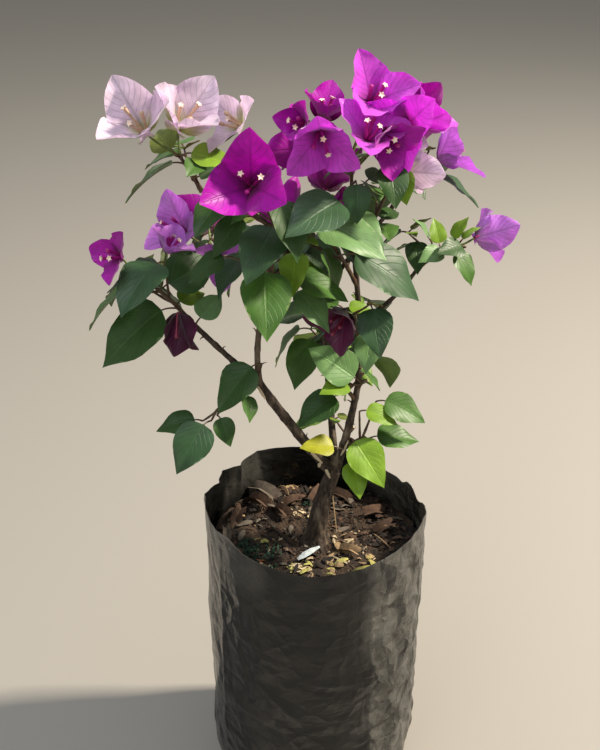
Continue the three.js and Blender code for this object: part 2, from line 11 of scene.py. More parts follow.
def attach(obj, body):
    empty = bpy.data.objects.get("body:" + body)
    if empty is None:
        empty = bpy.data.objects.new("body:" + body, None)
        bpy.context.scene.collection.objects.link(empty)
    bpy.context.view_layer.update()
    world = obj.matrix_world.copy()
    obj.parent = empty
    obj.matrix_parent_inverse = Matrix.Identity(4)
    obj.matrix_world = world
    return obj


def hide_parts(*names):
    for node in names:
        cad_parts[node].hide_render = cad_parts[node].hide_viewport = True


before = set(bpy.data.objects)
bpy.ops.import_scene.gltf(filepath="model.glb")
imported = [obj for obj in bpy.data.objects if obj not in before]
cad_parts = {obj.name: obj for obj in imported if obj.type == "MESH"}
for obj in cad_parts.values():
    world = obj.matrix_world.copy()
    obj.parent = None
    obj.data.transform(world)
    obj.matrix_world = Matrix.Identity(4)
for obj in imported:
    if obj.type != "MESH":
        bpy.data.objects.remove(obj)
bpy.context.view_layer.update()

# The bag: low-density polythene film, blown as a tube, sealed across its foot and cut by hand at the mouth.
# The soil fills it out round, handling and its own weight crease it, and above the soil it stands by itself.
# The film is drawn 0.5 mm thick, about five times the real one, so that its cut edge shows.
# Sizes are in millimetres and turns in degrees, here and below.
MM = 0.001
BAG_RADIUS, BAG_HEIGHT = 81, 250
FOOT_RADIUS, CORNER_HEIGHT = 53, 52
FOOT_STEP, CORNER_STEP, FILM_STEP, FILM_TURNS = 6.0, 5, 1.8, 288
FILM_THICKNESS = 0.5
FILM_SMOOTH = 50
MERGED_WITHIN = 0.05
SOIL_TOP = 222
SWELL, SWELL_LOBES, SWELL_TURN = 1.2, 3, 40
ARC_MM_PER_DEGREE = math.radians(BAG_RADIUS)

# The cut mouth's height at turns round the bag, with 0 at the front and 90 at the right.
RIM_HEIGHTS = [
    (-180, 252), (-154, 255), (-131, 252), (-105, 253), (-83, 256), (-63, 255), (-49, 261), (-38, 255),
    (-22, 253), (-6, 250), (8, 251), (22, 252), (50, 253.5), (68, 254), (82, 252), (97, 247), (103, 241),
    (109, 240), (114, 245), (120, 245), (123, 242), (127, 244), (140, 246), (160, 250), (180, 252),
]

# Creases that stand out, each from one (turn, height) to another, how far it stands proud, and its width.
CREASES = [
    ((22, 251), (26, 230), 1.6, 4), ((26, 230), (35, 211), 1.2, 4), ((-7, 157), (24, 152), 1.5, 3),
    ((24, 152), (31, 163), 1.3, 3), ((31, 163), (44, 133), 1.5, 3), ((44, 133), (57, 124), 1.4, 3),
    ((-3, 150), (25, 143), -1.3, 3), ((53, 204), (52, 198), 1.2, 2), ((52, 198), (57, 187), 1.2, 2),
    ((57, 187), (69, 190), 1.3, 2), ((36, 211), (45, 213), 1.2, 2.5), ((37, 208), (49, 200), -1.8, 3),
    ((21, 187), (29, 189), 1.3, 2.5), ((29, 189), (38, 183), 1.3, 2.5), ((11, 235), (22, 239), 0.9, 2),
    ((-38, 151), (-28, 144), 1.2, 2.5), ((-28, 144), (-17, 131), 1.4, 3), ((-17, 131), (-6, 119), 1.1, 3),
    ((-45, 116), (-31, 114), 1.1, 3), ((-37, 97), (-22, 92), 1.2, 3), ((-58, 246), (-56, 40), 1.5, 3),
    ((17, 108), (27, 109), 1.0, 2.5), ((22, 92), (30, 91), 1.1, 2.5), ((29, 111), (39, 110), 1.1, 2.5),
    ((42, 118), (57, 111), 1.2, 3), ((34, 99), (47, 104), 1.2, 3), ((47, 84), (62, 92), 1.3, 3),
    ((15, 70), (36, 78), 1.2, 3), ((-5, 62), (12, 74), 1.1, 3), ((-50, 72), (-30, 60), 1.2, 3),
    ((-108, 264), (-116, 222), -4.5, 4), ((-120, 264), (-126, 224), 3.5, 4),
    ((-132, 264), (-133, 226), -4, 4), ((-146, 262), (-150, 224), 3, 5), ((-95, 264), (-101, 220), 3, 4),
    ((100, 250), (96, 226), -1.6, 5), ((28, 246), (31, 60), 1.6, 3), ((70, 200), (52, 150), 1.4, 3),
    ((52, 230), (74, 214), -1.5, 3),
]

# A fold fades to this share of itself at its ends.
FOLD_ENDS = 0.35

# Smaller creases lie all round, mostly level, and most of them are low down and short: their seed and count,
# and the ranges of their height, length, slope, height of the fold and its width.
SMALL_CREASES = {
    "seed": 5, "count": 190, "height": (4, 236), "low": 1.5, "length": (8, 40), "short": 1.6,
    "slope": (-42, 42), "proud": (-0.75, 0.55), "width": (1.3, 3.6),
}

# The dents that the hand and the clods leave in the filled film, by their size across and depth, of which a
# share lies inwards. Over them the film is crumpled in flat facets with sharp edges that lean to the left,
# by their length, breadth and depth. It is slack, and so more crumpled, low down and at the right.
DENTS = [(64, 1.8), (23, 0.5)]
DENT_SINK = 0.4
DENT_PATTERN = Vector((7, 3, 1))
FACETS = [((34, 17), 1.7), ((14, 8), 0.5)]
FACET_LEAN, FACET_LEVEL, FACET_PATTERN = 38, 0.35, 2
FACET_WARP = {"size": 22, "by": 0.5, "seed": 4}
SLACK_TURNS = [
    (-180, 0), (-150, 0.5), (-62, 0.5), (-52, 0.3), (24, 0.3), (32, 1), (125, 1), (150, 0.5), (180, 0),
]
SLACK_LOW = {"below": 140, "over": 60, "more": 0.5}

# The film can't move where it stands, below this height and inside this radius of its foot.
FIRM_FOOT = {"height": 14, "radius": 30}


def stream(seed):
    """Seeded numbers from 0 to 1, the same on every run."""
    state = seed
    while True:
        state = (state * 1664525 + 1013904223) % 4294967296
        yield state / 4294967296


def within(span, share):
    return span[0] + (span[1] - span[0]) * share


def linear(code):
    """A colour's sRGB hex value as linear red, green, blue and alpha."""
    parts = [int(code[i : i + 2], 16) / 255 for i in (1, 3, 5)]
    return (*(p / 12.92 if p <= 0.04045 else ((p + 0.055) / 1.055) ** 2.4 for p in parts), 1)


def add_node(tree, kind, inputs, **settings):
    """Adds a shader node. Each input, by name or number, gets a value or is linked from another's output."""
    node = tree.nodes.new("ShaderNode" + kind)
    for name, value in settings.items():
        setattr(node, name, value)
    for key, value in inputs.items():
        if isinstance(value, bpy.types.NodeSocket):
            tree.links.new(value, node.inputs[key])
        else:
            node.inputs[key].default_value = value
    return node


def new_material(name):
    """A new material, its node tree, its main shader, and each point's place in the object's frame."""
    material = bpy.data.materials.new(name)
    material.use_nodes = True
    tree = material.node_tree
    place = add_node(tree, "TexCoord", {}).outputs["Object"]
    return material, tree, tree.nodes["Principled BSDF"].inputs, place


def only(piece):
    """Deselects everything else, so that an operator acts on this piece alone."""
    bpy.ops.object.select_all(action="DESELECT")
    piece.select_set(True)
    bpy.context.view_layer.objects.active = piece


def bag_outline(inset, top):
    """The bag's half section from its foot's middle to a top, as (radius, height), set in by a distance."""
    outline = [(r, inset) for r in np.arange(0, FOOT_RADIUS, FOOT_STEP)]
    for a in (math.radians(degrees) for degrees in range(0, 91, CORNER_STEP)):
        out = FOOT_RADIUS + (BAG_RADIUS - inset - FOOT_RADIUS) * math.sin(a)
        outline.append((out, inset + (CORNER_HEIGHT - inset) * (1 - math.cos(a))))
    wall = [*np.arange(CORNER_HEIGHT, top, FILM_STEP)[1:], top]
    return outline + [(BAG_RADIUS - inset, z) for z in wall]


def spun(name, outline):
    """A piece spun about the bag's axis from a half section in millimetres."""
    mesh = bpy.data.meshes.new(name)
    steps = [(i, i + 1) for i in range(len(outline) - 1)]
    mesh.from_pydata([(r * MM, 0, z * MM) for r, z in outline], steps, [])
    piece = bpy.data.objects.new(name, mesh)
    bpy.context.collection.objects.link(piece)
    only(piece)
    bpy.ops.object.mode_set(mode="EDIT")
    bpy.ops.mesh.select_all(action="SELECT")
    bpy.ops.mesh.spin(steps=FILM_TURNS, angle=2 * math.pi, center=(0, 0, 0), axis=(0, 0, 1))
    bpy.ops.mesh.select_all(action="SELECT")
    bpy.ops.mesh.remove_doubles(threshold=MERGED_WITHIN * MM)
    bpy.ops.mesh.normals_make_consistent(inside=False)
    bpy.ops.object.mode_set(mode="OBJECT")
    return piece


def small_creases():
    """The creases all round, in the form of CREASES."""
    spans, draw = SMALL_CREASES, stream(SMALL_CREASES["seed"])
    creases = []
    for _ in range(spans["count"]):
        turn = within((-180, 180), next(draw))
        height = within(spans["height"], next(draw) ** spans["low"])
        slope = math.radians(within(spans["slope"], next(draw)))
        length = within(spans["length"], next(draw) ** spans["short"])
        end = (turn + length * math.cos(slope) / ARC_MM_PER_DEGREE, height + length * math.sin(slope))
        proud = within(spans["proud"], next(draw))
        creases.append(((turn, height), end, proud, within(spans["width"], next(draw))))
    return creases


def slacken(piece, clearance=0.0):
    """Moves a spun piece's points as the film lies: its swell, dents, creases and cut mouth."""
    co = np.empty(len(piece.data.vertices) * 3)
    piece.data.vertices.foreach_get("co", co)
    co = co.reshape(-1, 3) / MM
    turn = np.degrees(np.arctan2(co[:, 0], -co[:, 1]))
    height = co[:, 2]
    radius = np.hypot(co[:, 0], co[:, 1])
    angle = np.arctan2(co[:, 1], co[:, 0])
    rise = np.clip(height / BAG_HEIGHT, 0, 1)
    swell = SWELL * rise**2 * (3 - 2 * rise) * np.sin(SWELL_LOBES * angle + math.radians(SWELL_TURN))
    proud = swell - clearance
    on_film = co * (1 + clearance / np.maximum(radius, 1))[:, None]
    for size, depth in DENTS:
        spots = [Vector(p) / size + DENT_PATTERN for p in on_film]
        proud += [depth * noise.noise(spot) - DENT_SINK * depth for spot in spots]
    slack = np.interp(turn, *zip(*SLACK_TURNS))
    slack *= 1 + SLACK_LOW["more"] * np.clip((SLACK_LOW["below"] - height) / SLACK_LOW["over"], 0, 1)
    lean, arc = math.radians(FACET_LEAN), turn * ARC_MM_PER_DEGREE
    along = height * math.cos(lean) - arc * math.sin(lean)
    aside = height * math.sin(lean) + arc * math.cos(lean)
    noise.seed_set(FACET_WARP["seed"])
    warp = [FACET_WARP["by"] * noise.noise_vector(Vector(p) / FACET_WARP["size"]) for p in on_film]
    for (length, breadth), depth in FACETS:
        spots = [Vector((a / length, b / breadth, FACET_PATTERN)) + w for a, b, w in zip(along, aside, warp)]
        near = np.array([noise.voronoi(spot, distance_metric="MANHATTAN")[0][0] for spot in spots])
        proud += slack * depth * (FACET_LEVEL - near)
    for (turn_a, low_a), (turn_b, low_b), fold, width in CREASES + small_creases():
        run = np.array([(turn_b - turn_a) * ARC_MM_PER_DEGREE, low_b - low_a])
        arc = ((turn - turn_a + 180) % 360 - 180) * ARC_MM_PER_DEGREE
        share = np.clip((arc * run[0] + (height - low_a) * run[1]) / run.dot(run), 0, 1)
        away = np.hypot(arc - share * run[0], height - low_a - share * run[1])
        proud += fold * np.exp(-away / width) * (FOLD_ENDS + (1 - FOLD_ENDS) * np.sin(math.pi * share))
    firm = np.clip(height / FIRM_FOOT["height"], 0, 1)
    firm *= np.clip((radius - FIRM_FOOT["radius"]) / FIRM_FOOT["radius"], 0, 1)
    co[:, :2] *= (1 + firm * proud / np.maximum(radius, 1))[:, None]
    rim = np.interp(turn, *zip(*RIM_HEIGHTS))
    free = np.clip((height - SOIL_TOP) / (BAG_HEIGHT - SOIL_TOP), 0, 1)
    co[:, 2] += free * (rim - BAG_HEIGHT)
    piece.data.vertices.foreach_set("co", (co * MM).ravel())
    piece.data.update()


def belongs(piece, slot, *nodes):
    """The piece rides on the plant's one body and stands for the solids that it replaces."""
    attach(piece, "root")
    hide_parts(*nodes)


bag = spun("film_bag", bag_outline(0, BAG_HEIGHT))
slacken(bag)
wall = bag.modifiers.new("wall", "SOLIDIFY")
wall.thickness = FILM_THICKNESS * MM
wall.offset = -1
wall.material_offset_rim = 1
bpy.ops.object.modifier_apply(modifier=wall.name)
bpy.ops.object.shade_smooth_by_angle(angle=math.radians(FILM_SMOOTH))

# Black polythene, blown film: a wet-looking gloss, broken at every crease. Dry grey dust dulls the film in
# patches 40 mm across. Its grey is kept to the right side as painted sunlight, and the same grey at the
# mouth's left side is a painted reflection of the sky; the rest has only a trace. The slack right side is
# crumpled into facets 17 mm across. Fine wrinkles are 4 mm apart.
DUST_AND_LIGHT_FROM, DUST_AND_LIGHT_TO = 30, 42
MOUTH_FROM, MOUTH_TO = 216, 236
DUST_PATCH, DUST_SPECK, DUST_WANDER = 40, 1.8, 30
CRUMPLE, CRUMPLE_SWIRL, CRUMPLE_WARP, CRUMPLE_DEPTH = 17, 30, 18, 5
WRINKLE, WRINKLE_DEPTH = 4, 0.7


def both(tree, *spans):
    """How far a point is inside both of two ranges: the product of their mapped values."""
    mapped = {n: add_node(tree, "MapRange", span).outputs["Result"] for n, span in enumerate(spans)}
    return add_node(tree, "Math", mapped, operation="MULTIPLY").outputs["Value"]


material, tree, shader, place = new_material("blown black polythene film")
parts = add_node(tree, "SeparateXYZ", {"Vector": place}).outputs
patchy = {"Vector": place, "Scale": 1 / (DUST_PATCH * MM), "Detail": 4, "Roughness": 0.55}
patches = add_node(tree, "TexNoise", patchy).outputs["Fac"]
speckled = {"Vector": place, "Scale": 1 / (DUST_SPECK * MM), "Detail": 3}
specks = add_node(tree, "TexNoise", speckled).outputs["Fac"]
wander = {0: patches, 1: DUST_WANDER * MM, 2: -DUST_WANDER / 2 * MM}
wandered = add_node(tree, "Math", wander, operation="MULTIPLY_ADD").outputs[0]
edge = add_node(tree, "Math", {0: parts["X"], 1: wandered}, operation="ADD").outputs[0]
# Painted sunlight: the dust's grey is kept to the right side, which the lamp at the right lights.
side = {"Value": edge, "From Min": DUST_AND_LIGHT_FROM * MM, "From Max": DUST_AND_LIGHT_TO * MM, "To Min": 0.1}
sunlit_dusty_side = add_node(tree, "MapRange", side).outputs["Result"]
# Painted reflection: the same grey at the mouth's left side stands for the sky seen in the gloss.
mouth = {"Value": parts["Z"], "From Min": MOUTH_FROM * MM, "From Max": MOUTH_TO * MM, "To Max": 0.6}
left = {"Value": parts["X"], "From Min": -DUST_AND_LIGHT_FROM * MM, "From Max": -DUST_AND_LIGHT_TO * MM}
soils = {0: sunlit_dusty_side, 1: both(tree, mouth, left)}
dust_and_light_place = add_node(tree, "Math", soils, operation="MAXIMUM").outputs["Value"]
lying = {"Value": patches, "From Min": 0.34, "From Max": 0.66, "To Min": 0.3}
gritty = {"Value": specks, "From Min": 0.3, "From Max": 0.7, "To Min": 0.7}
dust_and_light_pattern = {0: both(tree, lying, gritty), 1: dust_and_light_place}
dust_and_painted_light = add_node(tree, "Math", dust_and_light_pattern, operation="MULTIPLY").outputs["Value"]
film = {"Factor": dust_and_painted_light, 6: linear("#0a0b0c"), 7: linear("#5e5c56")}
tree.links.new(add_node(tree, "Mix", film, data_type="RGBA").outputs[2], shader["Base Color"])
gloss = {"Value": dust_and_painted_light, "To Min": 0.19, "To Max": 0.36}
tree.links.new(add_node(tree, "MapRange", gloss).outputs["Result"], shader["Roughness"])
shader["Specular IOR Level"].default_value = 0.3
swirl = add_node(tree, "TexNoise", {"Vector": place, "Scale": 1 / (CRUMPLE_SWIRL * MM)}).outputs["Color"]
warp = {0: swirl, 1: (CRUMPLE_WARP * MM,) * 3, 2: place}
warped = add_node(tree, "VectorMath", warp, operation="MULTIPLY_ADD").outputs["Vector"]
facet = {"Vector": warped, "Scale": 1 / (CRUMPLE * MM)}
facets = add_node(tree, "TexVoronoi", facet, distance="MANHATTAN").outputs["Distance"]
slack = {"Value": sunlit_dusty_side, "From Min": 0.1, "To Min": 0.3}
uneven = {"Value": patches, "From Min": 0.32, "From Max": 0.68, "To Min": 1.25, "To Max": 0.6}
loose = {0: facets, 1: both(tree, slack, uneven)}
crumple = add_node(tree, "Math", loose, operation="MULTIPLY").outputs["Value"]
folded = {"Height": crumple, "Strength": 1, "Distance": CRUMPLE_DEPTH * MM}
squeezed = add_node(tree, "Mapping", {"Vector": place, "Scale": (1, 1, 1.7)}).outputs["Vector"]
wrinkled = {"Vector": squeezed, "Scale": 1 / (WRINKLE * MM), "Detail": 3}
ripple = {
    "Height": add_node(tree, "TexNoise", wrinkled).outputs["Fac"], "Strength": 0.35,
    "Distance": WRINKLE_DEPTH * MM, "Normal": add_node(tree, "Bump", folded).outputs["Normal"],
}
tree.links.new(add_node(tree, "Bump", ripple).outputs["Normal"], shader["Normal"])
bag.data.materials.append(material)

# The cut edge of the film is dark at the left and painted pale at the right, a painted highlight where the
# light catches it.
material, tree, shader, place = new_material("cut edge of film, painted highlight at the right")
across = add_node(tree, "SeparateXYZ", {"Vector": place}).outputs["X"]
# Painted highlight: the edge goes from dark at the left to pale at the right.
painted_edge_highlight = add_node(tree, "MapRange", {"Value": across, "From Max": DUST_AND_LIGHT_TO * MM})
edge_highlight_colours = {"Factor": painted_edge_highlight.outputs["Result"], 6: linear("#23211f"), 7: linear("#d8d2c6")}
tree.links.new(add_node(tree, "Mix", edge_highlight_colours, data_type="RGBA").outputs[2], shader["Base Color"])
shader["Roughness"].default_value = 0.4
bag.data.materials.append(material)
belongs(bag, "film", "bag")

# The soil: a dark compost that has sunk below the mouth, heaped a little to the back left and at the stem.
# It is one closed body in the bag, whose top is rough with clods, by their size across and height.
SOIL_CLEARANCE = 1.4
SOIL_RING = 1.6
SOIL_LEVEL = SOIL_TOP - 4
HEAP = {"at": (-34, 34), "reach": 30, "height": 4.5}
STEM_MOUND = {"at": (2, 0), "reach": 16, "height": 3}
CLODS = [(17, 2.6), (6, 1.5), (2.6, 0.8)]


def soil_height(x, y):
    """The height of the soil's top above the floor, in millimetres."""
    height = SOIL_LEVEL
    for rise in (HEAP, STEM_MOUND):
        away = math.dist((x, y), rise["at"]) / rise["reach"]
        height += rise["height"] * math.exp(-(away**2))
    for size, depth in CLODS:
        height += depth * noise.noise(Vector((x / size, y / size, size)))
    return height


def worked_surface(tree, shader, colour, roughness, height, strength, depth):
    """Gives the shader its colour and roughness, and a relief that is so many millimetres deep."""
    tree.links.new(colour, shader["Base Color"])
    shader["Roughness"].default_value = roughness
    relief = {"Height": height, "Strength": strength, "Distance": depth * MM}
    tree.links.new(add_node(tree, "Bump", relief).outputs["Normal"], shader["Normal"])


outline = bag_outline(SOIL_CLEARANCE, SOIL_LEVEL)
outline += [(r, SOIL_LEVEL) for r in np.arange(outline[-1][0] - SOIL_RING, 0, -SOIL_RING)]
outline.append((0, SOIL_LEVEL))
soil = spun("soil_body", outline)
slacken(soil, SOIL_CLEARANCE)
for point in soil.data.vertices:
    if point.co.z > (SOIL_LEVEL - 0.5) * MM:
        point.co.z = soil_height(point.co.x / MM, point.co.y / MM) * MM
bpy.ops.object.shade_smooth()

# Damp peat and leaf mould: nearly black in its pores and brown on its crumbs, quite matt. Crumbs are 2 mm.
material, tree, shader, place = new_material("damp leaf mould compost")
crumbs = add_node(tree, "TexVoronoi", {"Vector": place, "Scale": 1 / (2 * MM)})
shades = add_node(tree, "TexNoise", {"Vector": place, "Scale": 1 / (9 * MM), "Detail": 6, "Roughness": 0.7})
lit = add_node(tree, "MapRange", {"Value": shades.outputs["Fac"], "From Min": 0.36, "From Max": 0.68})
soils = {"Factor": lit.outputs["Result"], 6: linear("#120d09"), 7: linear("#4c3a2a")}
mixed, crumbled = add_node(tree, "Mix", soils, data_type="RGBA").outputs[2], crumbs.outputs["Distance"]
worked_surface(tree, shader, mixed, roughness=0.95, height=crumbled, strength=0.9, depth=1.2)
soil.data.materials.append(material)
belongs(soil, "soil", "soil")

# The mulch: wood chips, bark crumbs, curled dead leaves and bits of straw that lie loose on the soil, each a
# thin bent flake or a small lump. A patch of moss grows at the front left.
CHIP_SEED = 77
CHIPS = {
    "count": 560, "length": (2.5, 12), "breadth": (0.22, 0.6), "thick": (0.5, 1.3), "rise": (-14, 26),
    "lift": (0.3, 2.2), "bow": (-0.8, 1.8), "inside": BAG_RADIUS - 7, "from_stem": 12,
}
CRUMBS = {"count": 760, "size": (0.7, 2.4), "lift": 0.5, "inside": BAG_RADIUS - 5}
MOSS = {
    "count": 240, "length": (2.4, 4.5), "breadth": (1.2, 2.2), "thick": 0.4, "rise": (25, 75), "lift": 1.2,
    "bow": 0.5, "up": (0.3, 0.2, 1), "stray": 7,
}
CURLED = {
    "rise": 14, "up": (0.2, -0.3, 1), "lift": 3.4, "apart": 0.15, "open": 0.9, "breadth": 0.42,
    "thick": 0.6, "bow": 0.16,
}
STRAW_RADII = [0.45] * 7 + [0.3]
STRAW_CHANCE = 0.25
FLAKE_PROFILE = [(-0.5, 0.45), (-0.2, 1), (0.15, 0.9), (0.5, 0.35)]
LUMP_PROFILE = [(-0.4, 0.7), (0.1, 1), (0.5, 0.5)]
LUMP_LEAST, LUMP_MORE, LUMP_LEAN = 0.35, 0.3, 0.4
JOINED_SMOOTH = 60
MOSS_PATCHES = [((-37, -17), 14), ((-49, -7), 8), ((-6, 46), 3)]
YELLOW_PATCHES = [((-9, -31), 9), ((13, -30), 8), ((41, -23), 9), ((-32, 0), 8)]
ORANGE_PATCHES = [((-46, -27), 9)]
TAN_PATCHES = [((24, -13), 15), ((22, 4), 11), ((-12, 30), 9)]
MULCH = {
    "dark wood": "#1f150e", "brown bark": "#453021", "dead leaf": "#5d4534", "grey wood": "#6c6256",
    "tan straw": "#a58a66", "pale wood": "#cbb896", "yellowed leaf": "#aca65c", "moss": "#274430",
    "rusty leaf": "#9a5a2c", "white sliver": "#c8d2d4",
}
DEAD_LEAVES = [
    ((-39, 56), 26, 150, "grey wood"), ((-44, 42), 24, -40, "dead leaf"), ((-26, 30), 22, -50, "dead leaf"),
    ((-58, 30), 18, 70, "brown bark"), ((-18, 44), 16, 20, "dead leaf"), ((52, 14), 18, 30, "brown bark"),
    ((46, 34), 20, 200, "dead leaf"), ((20, 56), 20, 160, "brown bark"), ((24, -16), 18, -30, "tan straw"),
    ((-66, 8), 14, 100, "grey wood"), ((34, -40), 16, 10, "yellowed leaf"), ((2, 58), 18, 60, "dead leaf"),
]
STRAWS = [
    ((12, 34, 250), (14, 22, 238), (16, 8, 221)), ((11, 30, 246), (9, 12, 236), (8, -6, 221)),
    ((50, 14, 222), (56, 12, 226), (62, 15, 221)), ((44, 6, 221), (49, -4, 224), (55, -10, 220)),
    ((40, -40, 221), (37, -52, 225), (33, -64, 222)), ((48, -50, 220), (47, -60, 229), (46, -62, 235)),
    ((-30, 66, 221), (-22, 62, 232), (-20, 56, 222)), ((-62, -16, 221), (-58, -24, 224), (-56, -34, 221)),
]


def ring(centre, first, second, corners):
    """The points round a centre at (share of the first direction, share of the second)."""
    return [centre + first * a + second * b for a, b in corners]


def lofted(rings):
    """The points and faces of a closed shape through rings of equally many points."""
    sides = len(rings[0])
    faces = [tuple(reversed(range(sides)))]
    for i in range(len(rings) - 1):
        for j in range(sides):
            a, b = i * sides + j, i * sides + (j + 1) % sides
            faces.append((a, b, b + sides, a + sides))
    faces.append(tuple(range((len(rings) - 1) * sides, len(rings) * sides)))
    return [p for r in rings for p in r], faces


def flake(centre, along, up, size, bow):
    """A thin chip with its length, width and thickness in size, bowed lengthwise."""
    side = along.cross(up).normalized()
    normal = side.cross(along).normalized()
    rings = []
    for share, girth in FLAKE_PROFILE:
        middle = centre + along * share * size[0] + normal * bow * (0.25 - share * share) * 4
        corners = [(-0.5, 0), (0, 0.5), (0.5, 0), (0, -0.5)]
        rings.append(ring(middle, side * size[1] * girth, normal * size[2], corners))
    return lofted(rings)


def lump(centre, size, draw):
    """A crumb of three uneven rings of four corners."""
    corners = [(-1, -1), (1, -1), (1, 1), (-1, 1)]
    rings = []
    for level, girth in LUMP_PROFILE:
        across = Vector((1, 0, 0)) * size * girth * (LUMP_LEAST + LUMP_MORE * next(draw))
        deep = Vector((0, 1, 0)) * size * girth * (LUMP_LEAST + LUMP_MORE * next(draw))
        lean = Vector((next(draw) - 0.5, next(draw) - 0.5, 0)) * size * LUMP_LEAN
        rings.append(ring(centre + lean + Vector((0, 0, level * size)), across, deep, corners))
    return lofted(rings)


def tube(points, radii, sides):
    """The points and faces of a closed round tube through points."""
    rings = []
    across = None
    for i, point in enumerate(points):
        ahead = (points[min(i + 1, len(points) - 1)] - points[max(i - 1, 0)]).normalized()
        if across is None:
            across = ahead.orthogonal().normalized()
        across = (across - ahead * across.dot(ahead)).normalized()
        corners = [(math.cos(t), math.sin(t)) for t in np.arange(sides) * 2 * math.pi / sides]
        rings.append(ring(point, across * radii[i], ahead.cross(across) * radii[i], corners))
    return lofted(rings)


def bent(start, middle, end, count):
    """Points along a curve from start to end, bowed towards the middle one."""
    shares = np.linspace(0, 1, count)
    return [start * (1 - s) ** 2 + middle * 2 * s * (1 - s) + end * s * s for s in shares]


def finished(shape, number=0):
    """A shape with the number of its material, for a piece that has no uv of its own."""
    return (*shape, number, None)


def joined(name, shapes, materials):
    """One piece, in metres, from many shapes in millimetres: (points, faces, material number, points' uv)."""
    points, faces, numbers, uv = [], [], [], []
    for shape_points, shape_faces, number, shape_uv in shapes:
        first = len(points)
        points.extend(p * MM for p in shape_points)
        uv.extend(shape_uv or [(0.0, 0.0)] * len(shape_points))
        faces.extend(tuple(first + v for v in face) for face in shape_faces)
        numbers.extend(number if isinstance(number, list) else [number] * len(shape_faces))
    mesh = bpy.data.meshes.new(name)
    mesh.from_pydata(points, [], faces)
    mesh.polygons.foreach_set("material_index", numbers)
    corner = np.empty(len(mesh.loops), dtype=np.int32)
    mesh.loops.foreach_get("vertex_index", corner)
    mesh.uv_layers.new(name="blade").data.foreach_set("uv", np.array(uv)[corner].ravel())
    for material in materials:
        mesh.materials.append(material)
    piece = bpy.data.objects.new(name, mesh)
    bpy.context.collection.objects.link(piece)
    only(piece)
    bpy.ops.object.shade_smooth_by_angle(angle=math.radians(JOINED_SMOOTH))
    return piece


def heading(turn, rise):
    """The direction with a turn about +Z from +X, and a rise above level, in degrees."""
    a, e = math.radians(turn), math.radians(rise)
    return Vector((math.cos(a) * math.cos(e), math.sin(a) * math.cos(e), math.sin(e)))


def scattered(draw, reach, middle=(0, 0)):
    """A place at random within a reach of the middle."""
    turn, away = math.radians(360 * next(draw)), reach * math.sqrt(next(draw))
    return middle[0] + away * math.cos(turn), middle[1] + away * math.sin(turn)


def mulch_shade(x, y, draw):
    """What a chip at a place is: by the patch it lies in, or any of the darker kinds."""
    for patches, kinds in (
        (YELLOW_PATCHES, ["yellowed leaf", "pale wood", "yellowed leaf", "tan straw", "dark wood"]),
        (ORANGE_PATCHES, ["rusty leaf", "dead leaf", "rusty leaf", "dark wood"]),
        (TAN_PATCHES, ["tan straw", "dead leaf", "pale wood", "grey wood", "tan straw"]),
    ):
        if any(math.dist((x, y), at) < reach for at, reach in patches):
            return kinds[int(next(draw) * len(kinds))]
    kinds = ["dark wood", "dark wood", "dark wood", "brown bark", "brown bark", "dead leaf", "grey wood"]
    kinds += ["tan straw"] if next(draw) > 1 - STRAW_CHANCE else ["dark wood"]
    return kinds[int(next(draw) * len(kinds))]


def shaded(tree, colour, pattern, span, tones):
    """A colour made darker or lighter by a pattern, from the first tone to the second over a span of it."""
    (low, high), (dark, light) = span, tones
    tone = {"Value": pattern, "From Min": low, "From Max": high, "To Min": dark, "To Max": light}
    toned = {"Factor": 1.0, 6: colour, 7: add_node(tree, "MapRange", tone).outputs["Result"]}
    return add_node(tree, "Mix", toned, data_type="RGBA", blend_type="MULTIPLY").outputs[2]


kinds = list(MULCH)
draw = stream(CHIP_SEED)
mulch = []
for _ in range(CHIPS["count"]):
    x, y = scattered(draw, CHIPS["inside"])
    if math.dist((x, y), STEM_MOUND["at"]) < CHIPS["from_stem"]:
        continue
    length = within(CHIPS["length"], next(draw) ** 2)
    size = (length, length * within(CHIPS["breadth"], next(draw)), within(CHIPS["thick"], next(draw)))
    lie = heading(360 * next(draw), within(CHIPS["rise"], next(draw)))
    centre = Vector((x, y, soil_height(x, y) + within(CHIPS["lift"], next(draw))))
    up = Vector((next(draw) - 0.5, next(draw) - 0.5, 1))
    chip = flake(centre, lie, up, size, within(CHIPS["bow"], next(draw)))
    mulch.append(finished(chip, kinds.index(mulch_shade(x, y, draw))))
for _ in range(CRUMBS["count"]):
    x, y = scattered(draw, CRUMBS["inside"])
    centre = Vector((x, y, soil_height(x, y) + CRUMBS["lift"]))
    crumb = lump(centre, within(CRUMBS["size"], next(draw) ** 2), draw)
    mulch.append(finished(crumb, kinds.index(mulch_shade(x, y, draw))))
for k in range(MOSS["count"]):
    middle, reach = MOSS_PATCHES[(k >= MOSS["count"] / 2) + (k % MOSS["stray"] == 0)]
    x, y = scattered(draw, reach, middle)
    lie = heading(360 * next(draw), within(MOSS["rise"], next(draw)))
    size = (within(MOSS["length"], next(draw)), within(MOSS["breadth"], next(draw)), MOSS["thick"])
    centre = Vector((x, y, soil_height(x, y) + MOSS["lift"]))
    mulch.append(finished(flake(centre, lie, Vector(MOSS["up"]), size, MOSS["bow"]), kinds.index("moss")))
for (x, y), length, turn, kind in DEAD_LEAVES:
    lie, up = heading(turn, CURLED["rise"]), Vector(CURLED["up"])
    side = lie.cross(up).normalized()
    size = (length, length * CURLED["breadth"], CURLED["thick"])
    for half in (-1, 1):
        centre = Vector((x, y, soil_height(x, y) + CURLED["lift"]))
        centre += side * half * length * CURLED["apart"]
        lifted = up.normalized() + side * half * -CURLED["open"]
        curled = flake(centre, lie, lifted, size, length * CURLED["bow"])
        mulch.append(finished(curled, kinds.index(kind)))
